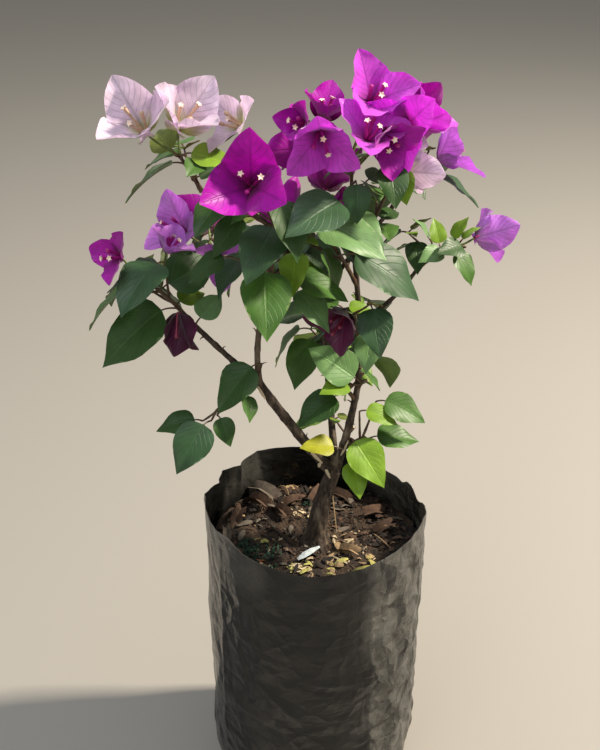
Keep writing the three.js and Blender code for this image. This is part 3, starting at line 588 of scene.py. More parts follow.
for start, middle, end in STRAWS:
    stalk = bent(Vector(start), Vector(middle), Vector(end), len(STRAW_RADII))
    mulch.append(finished(tube(stalk, STRAW_RADII, 5), kinds.index("tan straw")))

# One pale sliver, 19 mm long, leans on the soil at the front.
sliver = flake(Vector((-5, -21, 224.5)), heading(31, 12), Vector((0, -0.5, 1)), (19, 4.5, 0.8), 1)
mulch.append(finished(sliver, kinds.index("white sliver")))

# Weathered wood, bark and dead leaf: dry and matt, mottled 3 mm across and darker where they are damp.
finishes = []
for kind, colour in MULCH.items():
    material, tree, shader, place = new_material("mulch of " + kind)
    mottled = {"Vector": place, "Scale": 1 / (3 * MM), "Detail": 4, "Roughness": 0.65}
    damp = add_node(tree, "TexNoise", mottled).outputs["Fac"]
    shades = shaded(tree, linear(colour), damp, (0.3, 0.75), (0.45, 1.25))
    worked_surface(tree, shader, shades, roughness=0.85, height=damp, strength=0.5, depth=0.5)
    finishes.append(material)
belongs(joined("mulch", mulch, finishes), "soil", "soil")

# The trunk and boughs: living wood, forked low down, with a root flare at the soil and a collar where each
# bough leaves the one below. Limbs of round section are fused into one skin, and its bark is worked over it.
# Each runs from a start past a middle to an end, with its radius at both.
LIMBS = {
    "trunk": ((0, 0, 218), (2, 0, 252), (13, 0, 281), (7.6, 5.2)),
    "left_bough": ((12, 0, 279), (-16, -7, 318), (-39, -12, 358), (3.9, 3)),
    "right_bough": ((13, 0, 279), (22, 4, 304), (29, 10, 345), (3.4, 2.3)),
    "left_arm": ((-38, -12, 356), (-58, -16, 378), (-80, -19, 404), (2.3, 1.7)),
    "mid_bough": ((-38, -12, 356), (-44, -16, 410), (-16, -9, 450), (2.2, 1.6)),
    "crown_bough": ((29, 10, 344), (30, 14, 400), (22, 11, 452), (2.2, 1.7)),
    "white_arm": ((-17, -9, 448), (-36, -12, 480), (-70, -17, 489), (1.8, 1.4)),
    "right_arm": ((29, 12, 392), (50, 20, 398), (68, 27, 424), (1.8, 1.4)),
    "back_bough": ((14, 1, 283), (10, 34, 320), (4, 48, 392), (2.8, 1.9)),
    "back_left_arm": ((4, 48, 390), (-24, 50, 396), (-54, 44, 420), (1.8, 1.4)),
    "back_right_arm": ((4, 48, 390), (20, 60, 420), (50, 58, 452), (1.8, 1.4)),
}
LIMB_POINTS = 40
LIMB_SIDES = 16
ROOT_FLARE, FLARE_DECAY = 4.5, 9
COLLAR, COLLAR_FADE = 0.32, 5
NODE_SPACING, NODE_PLACE, NODE_WIDTH, NODE_SWELL = 17, 9, 1.6, 0.16

# The root ridges, by their turn and reach, each from a top past a knee (outwards, up) to the soil.
ROOT_RIDGES = [(-70, 5.5), (20, 4.5), (110, 5), (200, 6)]
ROOT_TOP, ROOT_KNEE, ROOT_END = (2, 18), (6, 5), 8
ROOT_RADII = [2.4, 2.8, 3, 3, 2.8, 2.5, 2.1, 1.5]

# The skin's grain, and its bark's relief by size across and depth, drawn out along the stem. It fades to a
# share of itself on the young wood above a height.
SKIN_GRAIN, SKIN_SMOOTHINGS = 0.75, 3
RELIEF = [(5.5, 0.5), (2.2, 0.3)]
RELIEF_STRETCH, RELIEF_PATTERN = 0.3, Vector((4, 9, 2))
YOUNG_WOOD = {"above": 300, "over": 60, "relief": 0.45}
STEM_FOOT = SOIL_LEVEL - 2


def limb_line(name, count):
    start, middle, end, _ = LIMBS[name]
    return bent(Vector(start), Vector(middle), Vector(end), count)


limbs = []
for name, (_, _, _, (first, last)) in LIMBS.items():
    line = limb_line(name, LIMB_POINTS)
    reach = sum((b - a).length for a, b in zip(line, line[1:]))
    radii = []
    for i in range(LIMB_POINTS):
        share = i / (LIMB_POINTS - 1)
        radius = first + (last - first) * share
        if name == "trunk":
            radius += ROOT_FLARE * math.exp(-share * FLARE_DECAY)
        else:
            radius *= 1 + COLLAR * math.exp(-share * reach / COLLAR_FADE)
            from_node = ((share * reach) % NODE_SPACING - NODE_PLACE) / NODE_WIDTH
            radius *= 1 + NODE_SWELL * math.exp(-(from_node**2))
        radii.append(radius)
    limbs.append(finished(tube(line, radii, LIMB_SIDES)))
foot = Vector(LIMBS["trunk"][0])
for turn, reach in ROOT_RIDGES:
    out = heading(turn, 0)
    top, knee = (foot + out * aside + Vector((0, 0, up)) for aside, up in (ROOT_TOP, ROOT_KNEE))
    root = bent(top, knee, foot + out * (ROOT_END + reach), len(ROOT_RADII))
    limbs.append(finished(tube(root, ROOT_RADII, 8)))
bark = joined("bark", limbs, [])
skin = bark.modifiers.new("skin", "REMESH")
skin.mode = "VOXEL"
skin.voxel_size = SKIN_GRAIN * MM
bpy.ops.object.modifier_apply(modifier=skin.name)
even = bark.modifiers.new("even", "SMOOTH")
even.iterations = SKIN_SMOOTHINGS
bpy.ops.object.modifier_apply(modifier=even.name)
worked = []
for point in bark.data.vertices:
    place = point.co / MM
    drawn_out = Vector((place.x, place.y, place.z * RELIEF_STRETCH))
    lift = sum(depth * noise.noise(drawn_out / size + RELIEF_PATTERN) for size, depth in RELIEF)
    aged = min(1, YOUNG_WOOD["relief"] + max(0, YOUNG_WOOD["above"] - place.z) / YOUNG_WOOD["over"])
    place += point.normal * lift * aged
    worked.extend((place.x * MM, place.y * MM, max(place.z, STEM_FOOT) * MM))
bark.data.vertices.foreach_set("co", worked)
bark.data.update()
bpy.ops.object.shade_smooth()

# Bougainvillea bark: a thin grey-brown cork with pale weathered patches over a darker, ridged skin. The
# ridges run up the stem 1.6 mm apart, the patches are 7 mm long, and the wood isn't shiny.
material, tree, shader, place = new_material("grey-brown living bark")
upright = add_node(tree, "Mapping", {"Vector": place, "Scale": (1, 1, 0.35)}).outputs["Vector"]
patch = add_node(tree, "TexNoise", {"Vector": upright, "Scale": 1 / (7 * MM), "Detail": 5}).outputs["Fac"]
ridge = add_node(tree, "TexNoise", {"Vector": upright, "Scale": 1 / (1.6 * MM), "Detail": 5}).outputs["Fac"]
weathered = add_node(tree, "MapRange", {"Value": patch, "From Min": 0.5, "From Max": 0.72})
ridged = add_node(tree, "MapRange", {"Value": ridge, "From Min": 0.35, "From Max": 0.65})
young = {"Factor": ridged.outputs["Result"], 6: linear("#1e150f"), 7: linear("#493b2f")}
brown = add_node(tree, "Mix", young, data_type="RGBA").outputs[2]
pale = {"Factor": weathered.outputs["Result"], 6: brown, 7: linear("#82735f")}
colour = add_node(tree, "Mix", pale, data_type="RGBA").outputs[2]
worked_surface(tree, shader, colour, roughness=0.82, height=ridge, strength=0.8, depth=0.7)
bark.data.materials.append(material)
bark_finish = material
belongs(bark, "bark", *LIMBS)

# Pruning scars: short stubs at the forks, cut off square, with pale dry wood on the cut and bark torn away
# below it. Each is a tapered peg from its place in a direction, with its length and radius. The torn strips
# have a place, a direction, a length, breadth and thickness, and the turn that they face.
STUBS = [
    ((12, -2, 284), heading(205, 28), 12, 2.3), ((-39, -13, 357), heading(190, 35), 8, 1.9),
    ((30, 9, 346), heading(-20, 30), 6, 1.4), ((24, 2, 312), heading(-60, 50), 7, 1.1),
    ((-14, -9, 316), heading(70, 60), 5, 1.1), ((22, 12, 434), heading(20, 40), 5, 1.0),
]
TORN = [
    ((-2, -7, 299), (-1, 0, 1.2), (20, 2.6, 0.5), -110), ((8, -5.5, 283), (-0.4, 0, 1), (11, 2.2, 0.5), -90),
    ((-37, -14.8, 352), (-0.5, 0, 1), (12, 2.0, 0.5), -90), ((20, -1, 300), (0.4, 0, 1), (13, 1.8, 0.5), -80),
]
STUB_TAPER = (1.2, 1, 0.95)
CUT_SUNK, CUT_PROUD, CUT_TAPER = 0.2, 0.35, (0.9, 0.7)
TORN_RISE, TORN_BOW = 10, 0.6
stubs, cuts = [], []
for place, direction, length, radius in STUBS:
    base = Vector(place)
    tip = base + direction * length
    peg = tube([base, base.lerp(tip, 0.5), tip], [radius * share for share in STUB_TAPER], 12)
    stubs.append(finished(peg))
    ends = [tip - direction * CUT_SUNK, tip + direction * CUT_PROUD]
    cuts.append(finished(tube(ends, [radius * share for share in CUT_TAPER], 12)))
for place, along, size, turn in TORN:
    strip = flake(Vector(place), Vector(along).normalized(), heading(turn, TORN_RISE), size, TORN_BOW)
    cuts.append(finished(strip))
belongs(joined("pruning_stubs", stubs, [bark_finish]), "bark", "trunk")

# Dry cut wood, sawn or snapped: cream, clouded with brown every 1.2 mm, and quite matt.
material, tree, shader, place = new_material("dry cut wood")
clouds = add_node(tree, "TexNoise", {"Vector": place, "Scale": 1 / (1.2 * MM), "Detail": 4})
woods = {"Factor": clouds.outputs["Fac"], 6: linear("#a98f6a"), 7: linear("#e9dcc0")}
tree.links.new(add_node(tree, "Mix", woods, data_type="RGBA").outputs[2], shader["Base Color"])
shader["Roughness"].default_value = 0.8
belongs(joined("cut_wood", cuts, [material]), "bark", "trunk")

# The masses: the leaves and blooms that stand together on one green stem and its twigs. Each row gives its
# name, its limb, the share of the limb where the stem leaves it, the stem's tip, how many more twigs stand
# on it by rule, the length of their leaves, and its own twigs, which end in a leaf or in a bloom.
def leaf(at, tip, length, turn, droop, roll, tint):
    """A twig from a share of its stem to a tip, and how long its leaf is and how it hangs."""
    return {"at": at, "tip": tip, "leaf": length, "turn": turn, "droop": droop, "roll": roll, "tint": tint}


def bloom(at, tip, colour, bract, turn, rise, roll, opened=38):
    """A twig as above, and its bloom: the bracts' length, where it faces, and how far they open."""
    return {"at": at, "tip": tip, "bloom": colour, "bract": bract, "face": (turn, rise, roll), "open": opened}


MASSES = [
    ("left_mass", "left_arm", 1, (-106, -24, 434), 1, 34, [
        leaf(0.5, (-95, -17, 444), 44, 240, 6, -8, "shaded bluish"),
        leaf(0.1, (-87, -24, 416), 52, 208, 36, -24, "dark"),
        leaf(0.7, (-114, -21, 427), 38, 178, 36, -6, "mid"),
        leaf(0.5, (-99, -21, 426), 40, 36, -22, 34, "dark"),
        leaf(0.05, (-77, -23, 405), 24, 48, -30, 20, "pale"),
        leaf(0.3, (-91, -13, 413), 22, 48, -8, 30, "bright"),
        bloom(1, (-120, -26, 451), "magenta", 22, -135, 20, 60, 50),
        bloom(0.7, (-98, 12, 440), "lilac", 23, -10, 60, 10),
        bloom(0.15, (-86, -34, 418), "maroon", 28, -80, -82, 0, 14),
    ]),
    ("low_left_mass", "left_bough", 0.98, (-66, -30, 346), 0, 34, [
        leaf(0.1, (-36, -19, 375), 38, 214, 31, -20, "dark"),
        leaf(0.8, (-75, -31, 339), 27, 200, 6, -34, "dark"),
        leaf(1, (-69, -34, 341), 36, 232, 32, -12, "shaded bluish"),
        leaf(0.9, (-65, -34, 345), 20, 300, 42, 10, "dark"),
    ]),
    ("middle_mass", "mid_bough", 0.72, (-28, -26, 452), 1, 34, [
        leaf(0.3, (-33, -25, 444), 44, -88, 34, 0, "mid"),
        leaf(1, (-24, -26, 471), 44, 240, 18, -14, "shaded bluish"),
        leaf(0.4, (-20, -18, 434), 34, -9, 15, 20, "mid"),
        leaf(0.2, (-18, -12, 424), 32, -27, 37, 10, "pale"),
        leaf(0.7, (-12, -14, 452), 28, -80, 45, 0, "bright"),
        leaf(0.6, (-52, -30, 452), 28, 200, 24, -20, "dark"),
    ]),
    ("front_mass", "mid_bough", 0.93, (-33, -32, 488), 1, 34, [
        bloom(1, (-39, -36, 498), "magenta", 43, -92, 24, 88, 28),
        leaf(0.8, (-27, -27, 488), 38, -60, 35, 0, "dark"),
        leaf(0.5, (-40, -24, 476), 30, 200, 40, -20, "dark"),
    ]),
    ("white_mass", "white_arm", 1, (-83, -18, 512), 1, 28, [
        bloom(1, (-100, -20, 524), "white", 38, -118, 48, 14, 33),
        bloom(0.9, (-83, -14, 525), "white", 38, -45, 48, 30, 27),
        bloom(0.7, (-45, -10, 526), "white", 27, -150, 30, 40, 50),
        leaf(0.7, (-78, -22, 507), 38, 178, 24, -6, "mid"),
        leaf(0.1, (-54, -22, 485), 32, 236, 16, -14, "dark"),
        leaf(0.95, (-84, -21, 512), 28, 165, -26, -30, "young"),
        leaf(0.5, (-75, -18, 496), 26, 0, -34, 20, "pale"),
        leaf(0.85, (-80, -24, 513), 30, -8, 10, 16, "bright"),
    ]),
    ("crown_mass", "crown_bough", 1, (20, 4, 506), 1, 34, [
        bloom(1, (31, 10, 535), "sunlit magenta", 34, -70, 44, 110, 35),
        bloom(0.95, (28, -14, 519), "sunlit magenta", 29, -62, 60, 0, 54),
        bloom(0.9, (1, -6, 523), "sunlit magenta", 35, -90, -18, 96, 37),
        bloom(0.85, (2, 12, 524), "magenta", 27, -30, 70, 30, 30),
        bloom(0.8, (-8, 4, 524), "magenta", 21, -130, 20, 60, 30),
        bloom(0.75, (38, -8, 520), "magenta", 27, -65, -10, 30, 40),
        bloom(0.85, (54, 2, 525), "sunlit magenta", 33, -150, 2, 40, 52),
        bloom(0.7, (-2, 26, 504), "magenta", 34, 160, 5, 0),
        bloom(0.5, (16, 4, 486), "magenta", 18, -75, -62, 0, 20),
        leaf(0.4, (18, -18, 483), 44, 208, 8, -34, "shaded bluish"),
        leaf(0.6, (22, -14, 495), 23, -85, 62, 0, "shaded bluish"),
    ]),
    ("crown_right_mass", "crown_bough", 0.8, (52, 8, 498), 1, 34, [
        bloom(1, (61, 14, 520), "sunlit magenta", 28, 0, 42, 60, 36),
        bloom(0.9, (58, 26, 522), "magenta", 30, 60, 50, 20, 40),
        bloom(0.8, (49, 4, 496), "white", 30, 20, 0, 60, 34),
        leaf(0.75, (42, -6, 503), 27, -85, 36, 0, "dark"),
        leaf(0.7, (47, -4, 501), 22, -60, 60, 40, "bright"),
        bloom(0.85, (52, 28, 510), "magenta", 34, 80, 30, 0),
    ]),
    ("centre_mass", "crown_bough", 0.66, (4, -8, 458), 1, 34, [
        leaf(1, (-7, -14, 469), 46, -32, 14, 22, "pale"),
        leaf(0.9, (14, -6, 470), 34, -50, 14, 14, "pale"),
        leaf(0.6, (13, -8, 445), 56, -15, 17, 38, "shaded bluish"),
    ]),
    ("inner_mass", "crown_bough", 0.3, (24, -4, 404), 1, 34, [
        bloom(0.9, (19, -5, 406), "maroon", 30, -125, -22, 37),
        leaf(1, (34, -3, 410), 32, -110, 48, 20, "shaded bluish"),
        leaf(0.1, (37, -2, 391), 27, -110, 32, 0, "pale"),
    ]),
    ("right_mass", "right_arm", 1, (93, 33, 436), 1, 24, [
        bloom(1, (105, 34, 442), "lilac", 31, 30, 0, 30, 34),
        leaf(0.35, (76, 28, 441), 17, 180, -62, 0, "pale"),
        leaf(0.5, (82, 28, 437), 18, 112, -66, 0, "bright"),
        leaf(0.7, (89, 31, 440), 17, 20, -70, 0, "bright"),
        leaf(0.85, (95, 31, 440), 14, 30, -50, 0, "bright"),
        leaf(0.8, (89, 30, 434), 26, -40, 42, 20, "mid"),
        leaf(0.6, (85, 28, 435), 20, 170, 4, -30, "pale"),
        leaf(0.9, (99, 30, 437), 22, 192, -4, -40, "dark"),
    ]),
    ("low_inner_mass", "right_bough", 0.85, (16, 0, 350), 1, 30, [
        leaf(0.7, (18, 1, 341), 32, 208, 14, -30, "dark"),
        leaf(0.5, (24, 2, 349), 25, 205, -16, -40, "bright"),
        leaf(1, (31, -2, 351), 36, 178, -34, -40, "pale"),
    ]),
    ("low_right_mass", "right_bough", 0.3, (34, 4, 306), 1, 30, [
        leaf(0.4, (22, 2, 307), 36, -52, 34, 20, "bright"),
        leaf(0.1, (24, -1, 291), 26, -74, 32, 0, "bright"),
        leaf(1, (37, 8, 302), 34, 0, 8, 24, "mid"),
        leaf(0.8, (30, 5, 326), 26, -10, 4, 20, "bright"),
        leaf(0.9, (42, 14, 329), 31, -16, 10, 20, "mid"),
        leaf(0.2, (16, -8, 304), 23, 200, -16, -24, "yellow"),
    ]),
    ("back_left_mass", "back_left_arm", 1, (-76, 42, 434), 4, 38, [
        bloom(1, (-88, 44, 442), "lilac", 32, -150, 35, 0),
        bloom(0.5, (-64, 36, 424), "lilac", 26, -85, 20, 30),
        bloom(0.8, (-74, 60, 440), "magenta", 34, 110, 20, 30),
    ]),
    ("back_mass", "back_bough", 0.98, (2, 66, 442), 5, 42, [
        bloom(1, (6, 76, 462), "magenta", 38, 80, 40, 30),
        bloom(0.7, (-14, 78, 440), "magenta", 34, 125, 8, 0),
    ]),
    ("back_right_mass", "back_right_arm", 1, (64, 58, 480), 4, 38, [
        bloom(1, (80, 56, 488), "lilac", 34, 5, 30, 0),
        bloom(0.8, (58, 72, 490), "magenta", 36, 75, 35, 30),
    ]),
    ("back_low_mass", "back_bough", 0.55, (20, 66, 352), 4, 40, []),
    ("back_inner_mass", "back_left_arm", 0.45, (-34, 62, 424), 3, 38, []),
]

# The rule of growth, as in the solids: the filling twigs' places, headings, rises, reaches and leaves' hang,
# the golden angle from one to the next, and how a stem is bowed. Seeds step from one mass to the next. Limbs,
# stems and twigs are curves of so many parts, and their knots are a little thicker.
FILL_SHARE, FILL_TURN, FILL_RISE, FILL_REACH, FILL_DROOP = (0.25, 1), (-10, 190), (0, 55), (18, 34), (5, 55)
FILL_LEAVES = 2
FILL_TINTS = ["dark", "mid", "shaded bluish", "dark", "mid", "bright"]
LEAF_STRETCH = 0.6
GOLDEN_ANGLE = 137.5
TWIG_SEED, LEAF_SEED, SEED_STEP, BLOOM_SEED = 5000, 1000, 38, 7
STEM_BOW, TWIG_SAG = 0.12, 0.08
STEM_RADII, TWIG_RADII = (1.55, 0.95), (0.95, 0.6)
LIMB_PARTS, STEM_PARTS, TWIG_PARTS = 100, 20, 8
KNOTS = {"every": 4, "from": 2, "swell": 1.18}
LIMB_GAP, LIMB_BODY_POINTS, STEM_SIDES, TWIG_SIDES = 0.3, 8, 7, 6


def solid(points, faces):
    """A shape to test for crossings, with its box."""
    low = [min(p[k] for p in points) for k in range(3)]
    high = [max(p[k] for p in points) for k in range(3)]
    return {"tree": BVHTree.FromPolygons(points, faces), "low": low, "high": high}


def meets(a, b):
    """Whether two solids cross."""
    if any(a["low"][k] > b["high"][k] or b["low"][k] > a["high"][k] for k in range(3)):
        return False
    return bool(a["tree"].overlap(b["tree"]))


def grown(curve, radii, sides=STEM_SIDES):
    """A stem's tube, tapered and a little thicker at its knots."""
    last = len(curve) - 1
    knots = [KNOTS["swell"] if i % KNOTS["every"] == KNOTS["from"] else 1 for i in range(last + 1)]
    return tube(curve, [within(radii, i / last) * knot for i, knot in enumerate(knots)], sides)


standing = []
for name, (_, _, _, (first, _)) in LIMBS.items():
    radii = [first + LIMB_GAP] * LIMB_BODY_POINTS
    standing.append(solid(*tube(limb_line(name, LIMB_BODY_POINTS), radii, STEM_SIDES)))
plant = []
for m, (name, limb, share, tip, fill, size, rows) in enumerate(MASSES):
    draw = stream(TWIG_SEED + SEED_STEP * m)
    root = limb_line(limb, LIMB_PARTS + 1)[round(share * LIMB_PARTS)]
    lift = Vector((0, 0, (Vector(tip) - root).length * STEM_BOW))
    stem = bent(root, root.lerp(Vector(tip), 0.5) + lift, Vector(tip), STEM_PARTS + 1)
    twigs = [dict(row) for row in rows]
    for k in range(fill):
        at = within(FILL_SHARE, (k + next(draw)) / fill)
        turn = within(FILL_TURN, (k * GOLDEN_ANGLE / 360 + next(draw)) % 1)
        away = heading(turn, within(FILL_RISE, next(draw))) * within(FILL_REACH, next(draw))
        hang = within(FILL_DROOP, next(draw))
        place = stem[round(at * STEM_PARTS)] + away
        twig = leaf(at, place, size, turn, hang, 0, FILL_TINTS[(m + 2 * k) % len(FILL_TINTS)])
        twigs.append({**twig, "leaves": FILL_LEAVES})
    for twig in twigs:
        start, end = stem[round(twig["at"] * STEM_PARTS)], Vector(twig["tip"])
        sag = Vector((0, 0, -(end - start).length * TWIG_SAG))
        twig["line"] = bent(start, start.lerp(end, 0.5) + sag, end, TWIG_PARTS + 1)
        twig["shape"] = grown(twig["line"], TWIG_RADII, TWIG_SIDES)
        twig["solid"] = {**solid(*twig["shape"]), "mass": m}
    shape = grown(stem, STEM_RADII)
    body = {**solid(*shape), "mass": m}
    plant.append({"name": name, "stem": stem, "shape": shape, "twigs": twigs, "solid": body})

# A filling twig that would cross a stem or twig of another mass is left off.
for m, mass in enumerate(plant):
    others = [
        body
        for n, other in enumerate(plant)
        if n != m
        for body in [other["solid"], *(twig["solid"] for twig in other["twigs"])]
    ]
    mass["twigs"] = [
        twig
        for twig in mass["twigs"]
        if "leaves" not in twig or not any(meets(twig["solid"], body) for body in others)
    ]
for mass in plant:
    standing += [mass["solid"], *(twig["solid"] for twig in mass["twigs"])]

# The blooms: three papery bracts round the flowers, each an ovate blade with a pointed tip and a waved edge,
# thinner than a leaf. A blade is a sheet of an upper and an under face that share their edge. A bloom or leaf
# that would cross what stands is turned by the first of the tries that clears it, or left off.
ACROSS = (-1, -0.82, -0.55, -0.26, 0, 0.26, 0.55, 0.82, 1)
BRACT = {
    "shares": (0, 0.04, 0.1, 0.18, 0.27, 0.37, 0.47, 0.57, 0.67, 0.76, 0.84, 0.91, 0.96, 1), "width": 0.8,
    "base": 0.55, "tip": 0.86, "fold": 5, "cup": 0.26, "wave": 0.05, "waves": 2.3, "thick": 0.3,
}
BRACT_CURL, BRACT_SPREAD, BRACT_ROOT = 20, 12, 0.35
HALF_WAVE, WAVE_ONSET, MIDRIB = 0.37, 5, 1.6
TURN_TRIES = (0, 8, -8, 16, -16, 26, -26, 38, -38, 54, -54, 74, -74, 98, -98)
# The sunlit magenta tint is magenta made paler as painted sunlight, for blooms at the top of the crown; the
# shaded magenta tint is magenta made darker as painted shade, for blooms deep in shade.
BRACT_TINTS = {
    "magenta": ("#d416cf", "#c41cb8"), "lilac": ("#eca0f8", "#e09cf0"), "white": ("#f7e8f7", "#f3e4f4"),
    "maroon": ("#7c1e5c", "#5b1440"), "sunlit magenta": ("#f26af6", "#e866ec"),
}
BRACT_BASES = {
    "magenta": "#8a0862", "lilac": "#c99ad0", "white": "#d9dfa0", "maroon": "#4a1030",
    "sunlit magenta": "#b01c98",
}


def blade(base, direction, up, length, form, curl, phase):
    """A blade's points, faces and uv. Its faces are the upper ones first, and then as many under ones."""
    side = direction.cross(up).normalized()
    normal = side.cross(direction).normalized()
    bend, lift = math.radians(curl), math.radians(form["fold"])
    peak = form["base"] / (form["base"] + form["tip"])
    widest = peak ** form["base"] * (1 - peak) ** form["tip"]
    half = length * form["width"] / 2
    shares = form["shares"]
    upper, under, uv = [], [], []
    for share in shares:
        reach = half * share ** form["base"] * (1 - share) ** form["tip"] / widest
        middle = base + direction * length * math.sin(bend * share) / bend
        middle -= normal * length * (1 - math.cos(bend * share)) / bend
        out = normal * math.cos(bend * share) + direction * math.sin(bend * share)
        for u in ACROSS:
            wave = math.sin(2 * math.pi * (form["waves"] * share + phase + HALF_WAVE * (u > 0)))
            height = abs(u) * reach * math.sin(lift) + form["cup"] * reach * u * u
            height += form["wave"] * length * wave * abs(u) ** 3 * min(1, WAVE_ONSET * share * (1 - share))
            place = middle + side * u * reach * math.cos(lift) + out * height
            upper.append(place)
            under.append(place - out * form["thick"] * (MIDRIB if u == 0 else 1) * (abs(u) < 1))
            uv.append(((u + 1) / 2, share))
    across, last = len(ACROSS), len(shares) - 1
    index, points, places = {}, [], []
    for layer, sheet in (("upper", upper), ("under", under)):
        for s in range(last + 1):
            for c in range(across):
                if layer == "under" and (s in (0, last) or c in (0, across - 1)):
                    index[layer, s, c] = index["upper", s, c]
                elif s in (0, last) and c:
                    index[layer, s, c] = index[layer, s, 0]
                else:
                    index[layer, s, c] = len(points)
                    points.append(sheet[s * across + c])
                    places.append((0.5, shares[s]) if s in (0, last) else uv[s * across + c])
    faces = []
    for layer in ("upper", "under"):
        for s in range(last):
            for c in range(across - 1):
                corners = [(s, c), (s, c + 1), (s + 1, c + 1), (s + 1, c)]
                face = list(dict.fromkeys(index[(layer, *corner)] for corner in corners))
                faces.append(tuple(face if layer == "upper" else reversed(face)))
    return points, faces, places


def two_sided(number, faces):
    """The material numbers of a blade's faces, where each finish has one for either side."""
    half = len(faces) // 2
    return [number * 2] * half + [number * 2 + 1] * half


def first_clear(make, ignored):
    """What is made at the first of the turns where it meets nothing that stands, with its solid, or none."""
    others = [body for body in standing if not ignored(body)]
    for extra in TURN_TRIES:
        made = make(extra)
        tested = solid([p for part in made for p in part[0]], shifted(made))
        if not any(meets(tested, body) for body in others):
            return made, tested
    return None, None


def shifted(parts):
    """The faces of several shapes, numbered as one."""
    faces, first = [], 0
    for points, part_faces, *_ in parts:
        faces += [tuple(first + v for v in face) for face in part_faces]
        first += len(points)
    return faces


def three_bracts(twig, phases, extra):
    """A bloom's bracts, where it faces so many degrees further round."""
    turn, rise, roll = twig["face"]
    base = Vector(twig["tip"])
    axis, across = heading(turn + extra, rise), heading(turn + extra + 90, 0)
    made = []
    for step, phase in zip((0, 120, 240), phases):
        out = Quaternion(axis, math.radians(roll + step)) @ across
        opened = math.radians(twig["open"] + BRACT_SPREAD * (phase - 0.5))
        direction = axis * math.cos(opened) + out * math.sin(opened)
        up = axis * math.sin(opened) - out * math.cos(opened)
        made.append(blade(base + out * BRACT_ROOT, direction, up, twig["bract"], BRACT, BRACT_CURL, phase))
    return made


bracts, flower_places = [], []
colours = list(BRACT_TINTS)
for m, mass in enumerate(plant):
    draw = stream(LEAF_SEED + SEED_STEP * m + BLOOM_SEED)
    for twig in (twig for twig in mass["twigs"] if "bloom" in twig):
        phases = [next(draw) for _ in range(3)]
        made, tested = first_clear(
            lambda extra: three_bracts(twig, phases, extra), lambda body: body.get("mass") == m
        )
        if made:
            standing.append({**tested, "mass": m})
            number = colours.index(twig["bloom"])
            bracts += [(points, faces, two_sided(number, faces), uv) for points, faces, uv in made]
            axis = heading(*twig["face"][:2])
            flower_places.append((Vector(twig["tip"]), axis, twig["bract"], twig["bloom"]))

# Bracts, which are coloured leaves as thin as tissue: satin, with light shining through them and a net of
# fine veins that fan out from the midrib, drawn 3 mm apart. The foot of each is paler or darker than it.
BRACT_FINISH = {
    "through": 0.55, "gloss": 0.4, "sheen": 0.6, "shine": 0.8, "relief": 0.5, "veins": (9, 0.34, 0.86),
}


def vein_lines(tree, count, slant, sharp):
    """How strongly a blade's point lies on its midrib or a side vein, and its share of the length."""
    uv = add_node(tree, "UVMap", {}, uv_map="blade").outputs["UV"]
    parts = add_node(tree, "SeparateXYZ", {"Vector": uv}).outputs
    centred = add_node(tree, "Math", {0: parts["X"], 1: 2, 2: -1}, operation="MULTIPLY_ADD").outputs[0]
    away = add_node(tree, "Math", {0: centred}, operation="ABSOLUTE").outputs[0]
    sloped = add_node(tree, "Math", {0: away, 1: -slant, 2: parts["Y"]}, operation="MULTIPLY_ADD").outputs[0]
    phase = add_node(tree, "Math", {0: sloped, 1: count * 2 * math.pi}, operation="MULTIPLY").outputs[0]
    wave = add_node(tree, "Math", {0: phase}, operation="COSINE").outputs[0]
    side = add_node(tree, "MapRange", {"Value": wave, "From Min": sharp, "From Max": 1}).outputs["Result"]
    rib = add_node(tree, "MapRange", {"Value": away, "From Min": 0.07, "From Max": 0.02}).outputs["Result"]
    strongest = add_node(tree, "Math", {0: side, 1: rib}, operation="MAXIMUM").outputs[0]
    return strongest, parts["Y"]


def thin_blade(name, colour, foot, through, gloss, sheen, shine, relief, veins):
    """A blade's finish: its colours, the light through it, its gloss and sheen, and how its veins show."""
    material, tree, shader, place = new_material(name)
    line, along = vein_lines(tree, *veins)
    mottle = add_node(tree, "TexNoise", {"Vector": place, "Scale": 1 / (8 * MM), "Detail": 3}).outputs["Fac"]
    near_foot = add_node(tree, "MapRange", {"Value": along, "From Min": 0.34, "From Max": 0.02})
    body = {"Factor": near_foot.outputs["Result"], 6: linear(colour), 7: linear(foot)}
    blended = add_node(tree, "Mix", body, data_type="RGBA").outputs[2]
    mottled = shaded(tree, blended, mottle, (0.3, 0.7), (0.84, 1.12))
    final = shaded(tree, mottled, line, (0, 1), (1, shine))
    tree.links.new(final, shader["Base Color"])
    shader["Roughness"].default_value = gloss
    shader["Sheen Weight"].default_value = sheen
    shader["Sheen Roughness"].default_value = 0.4
    grooves = {"Height": line, "Strength": relief, "Distance": 0.35 * MM}
    bump = add_node(tree, "Bump", grooves, invert=True).outputs["Normal"]
    tree.links.new(bump, shader["Normal"])
    glow = add_node(tree, "BsdfTranslucent", {"Color": final, "Normal": bump})
    surface = tree.nodes["Material Output"].inputs["Surface"]
    main = tree.nodes["Principled BSDF"].outputs["BSDF"]
    mix = add_node(tree, "MixShader", {"Fac": through, 1: main, 2: glow.outputs["BSDF"]})
    tree.links.new(mix.outputs["Shader"], surface)
    return material


finishes = []
for name, sides in BRACT_TINTS.items():
    for side, colour in zip(("face", "back"), sides):
        finishes.append(thin_blade(f"papery bract, {name} {side}", colour, BRACT_BASES[name], **BRACT_FINISH))
mass_names = [row[0] for row in MASSES]
bloom_masses = [row[0] for row in MASSES if any("bloom" in twig for twig in row[6])]
belongs(joined("bracts", bracts, finishes), "foliage", *bloom_masses)

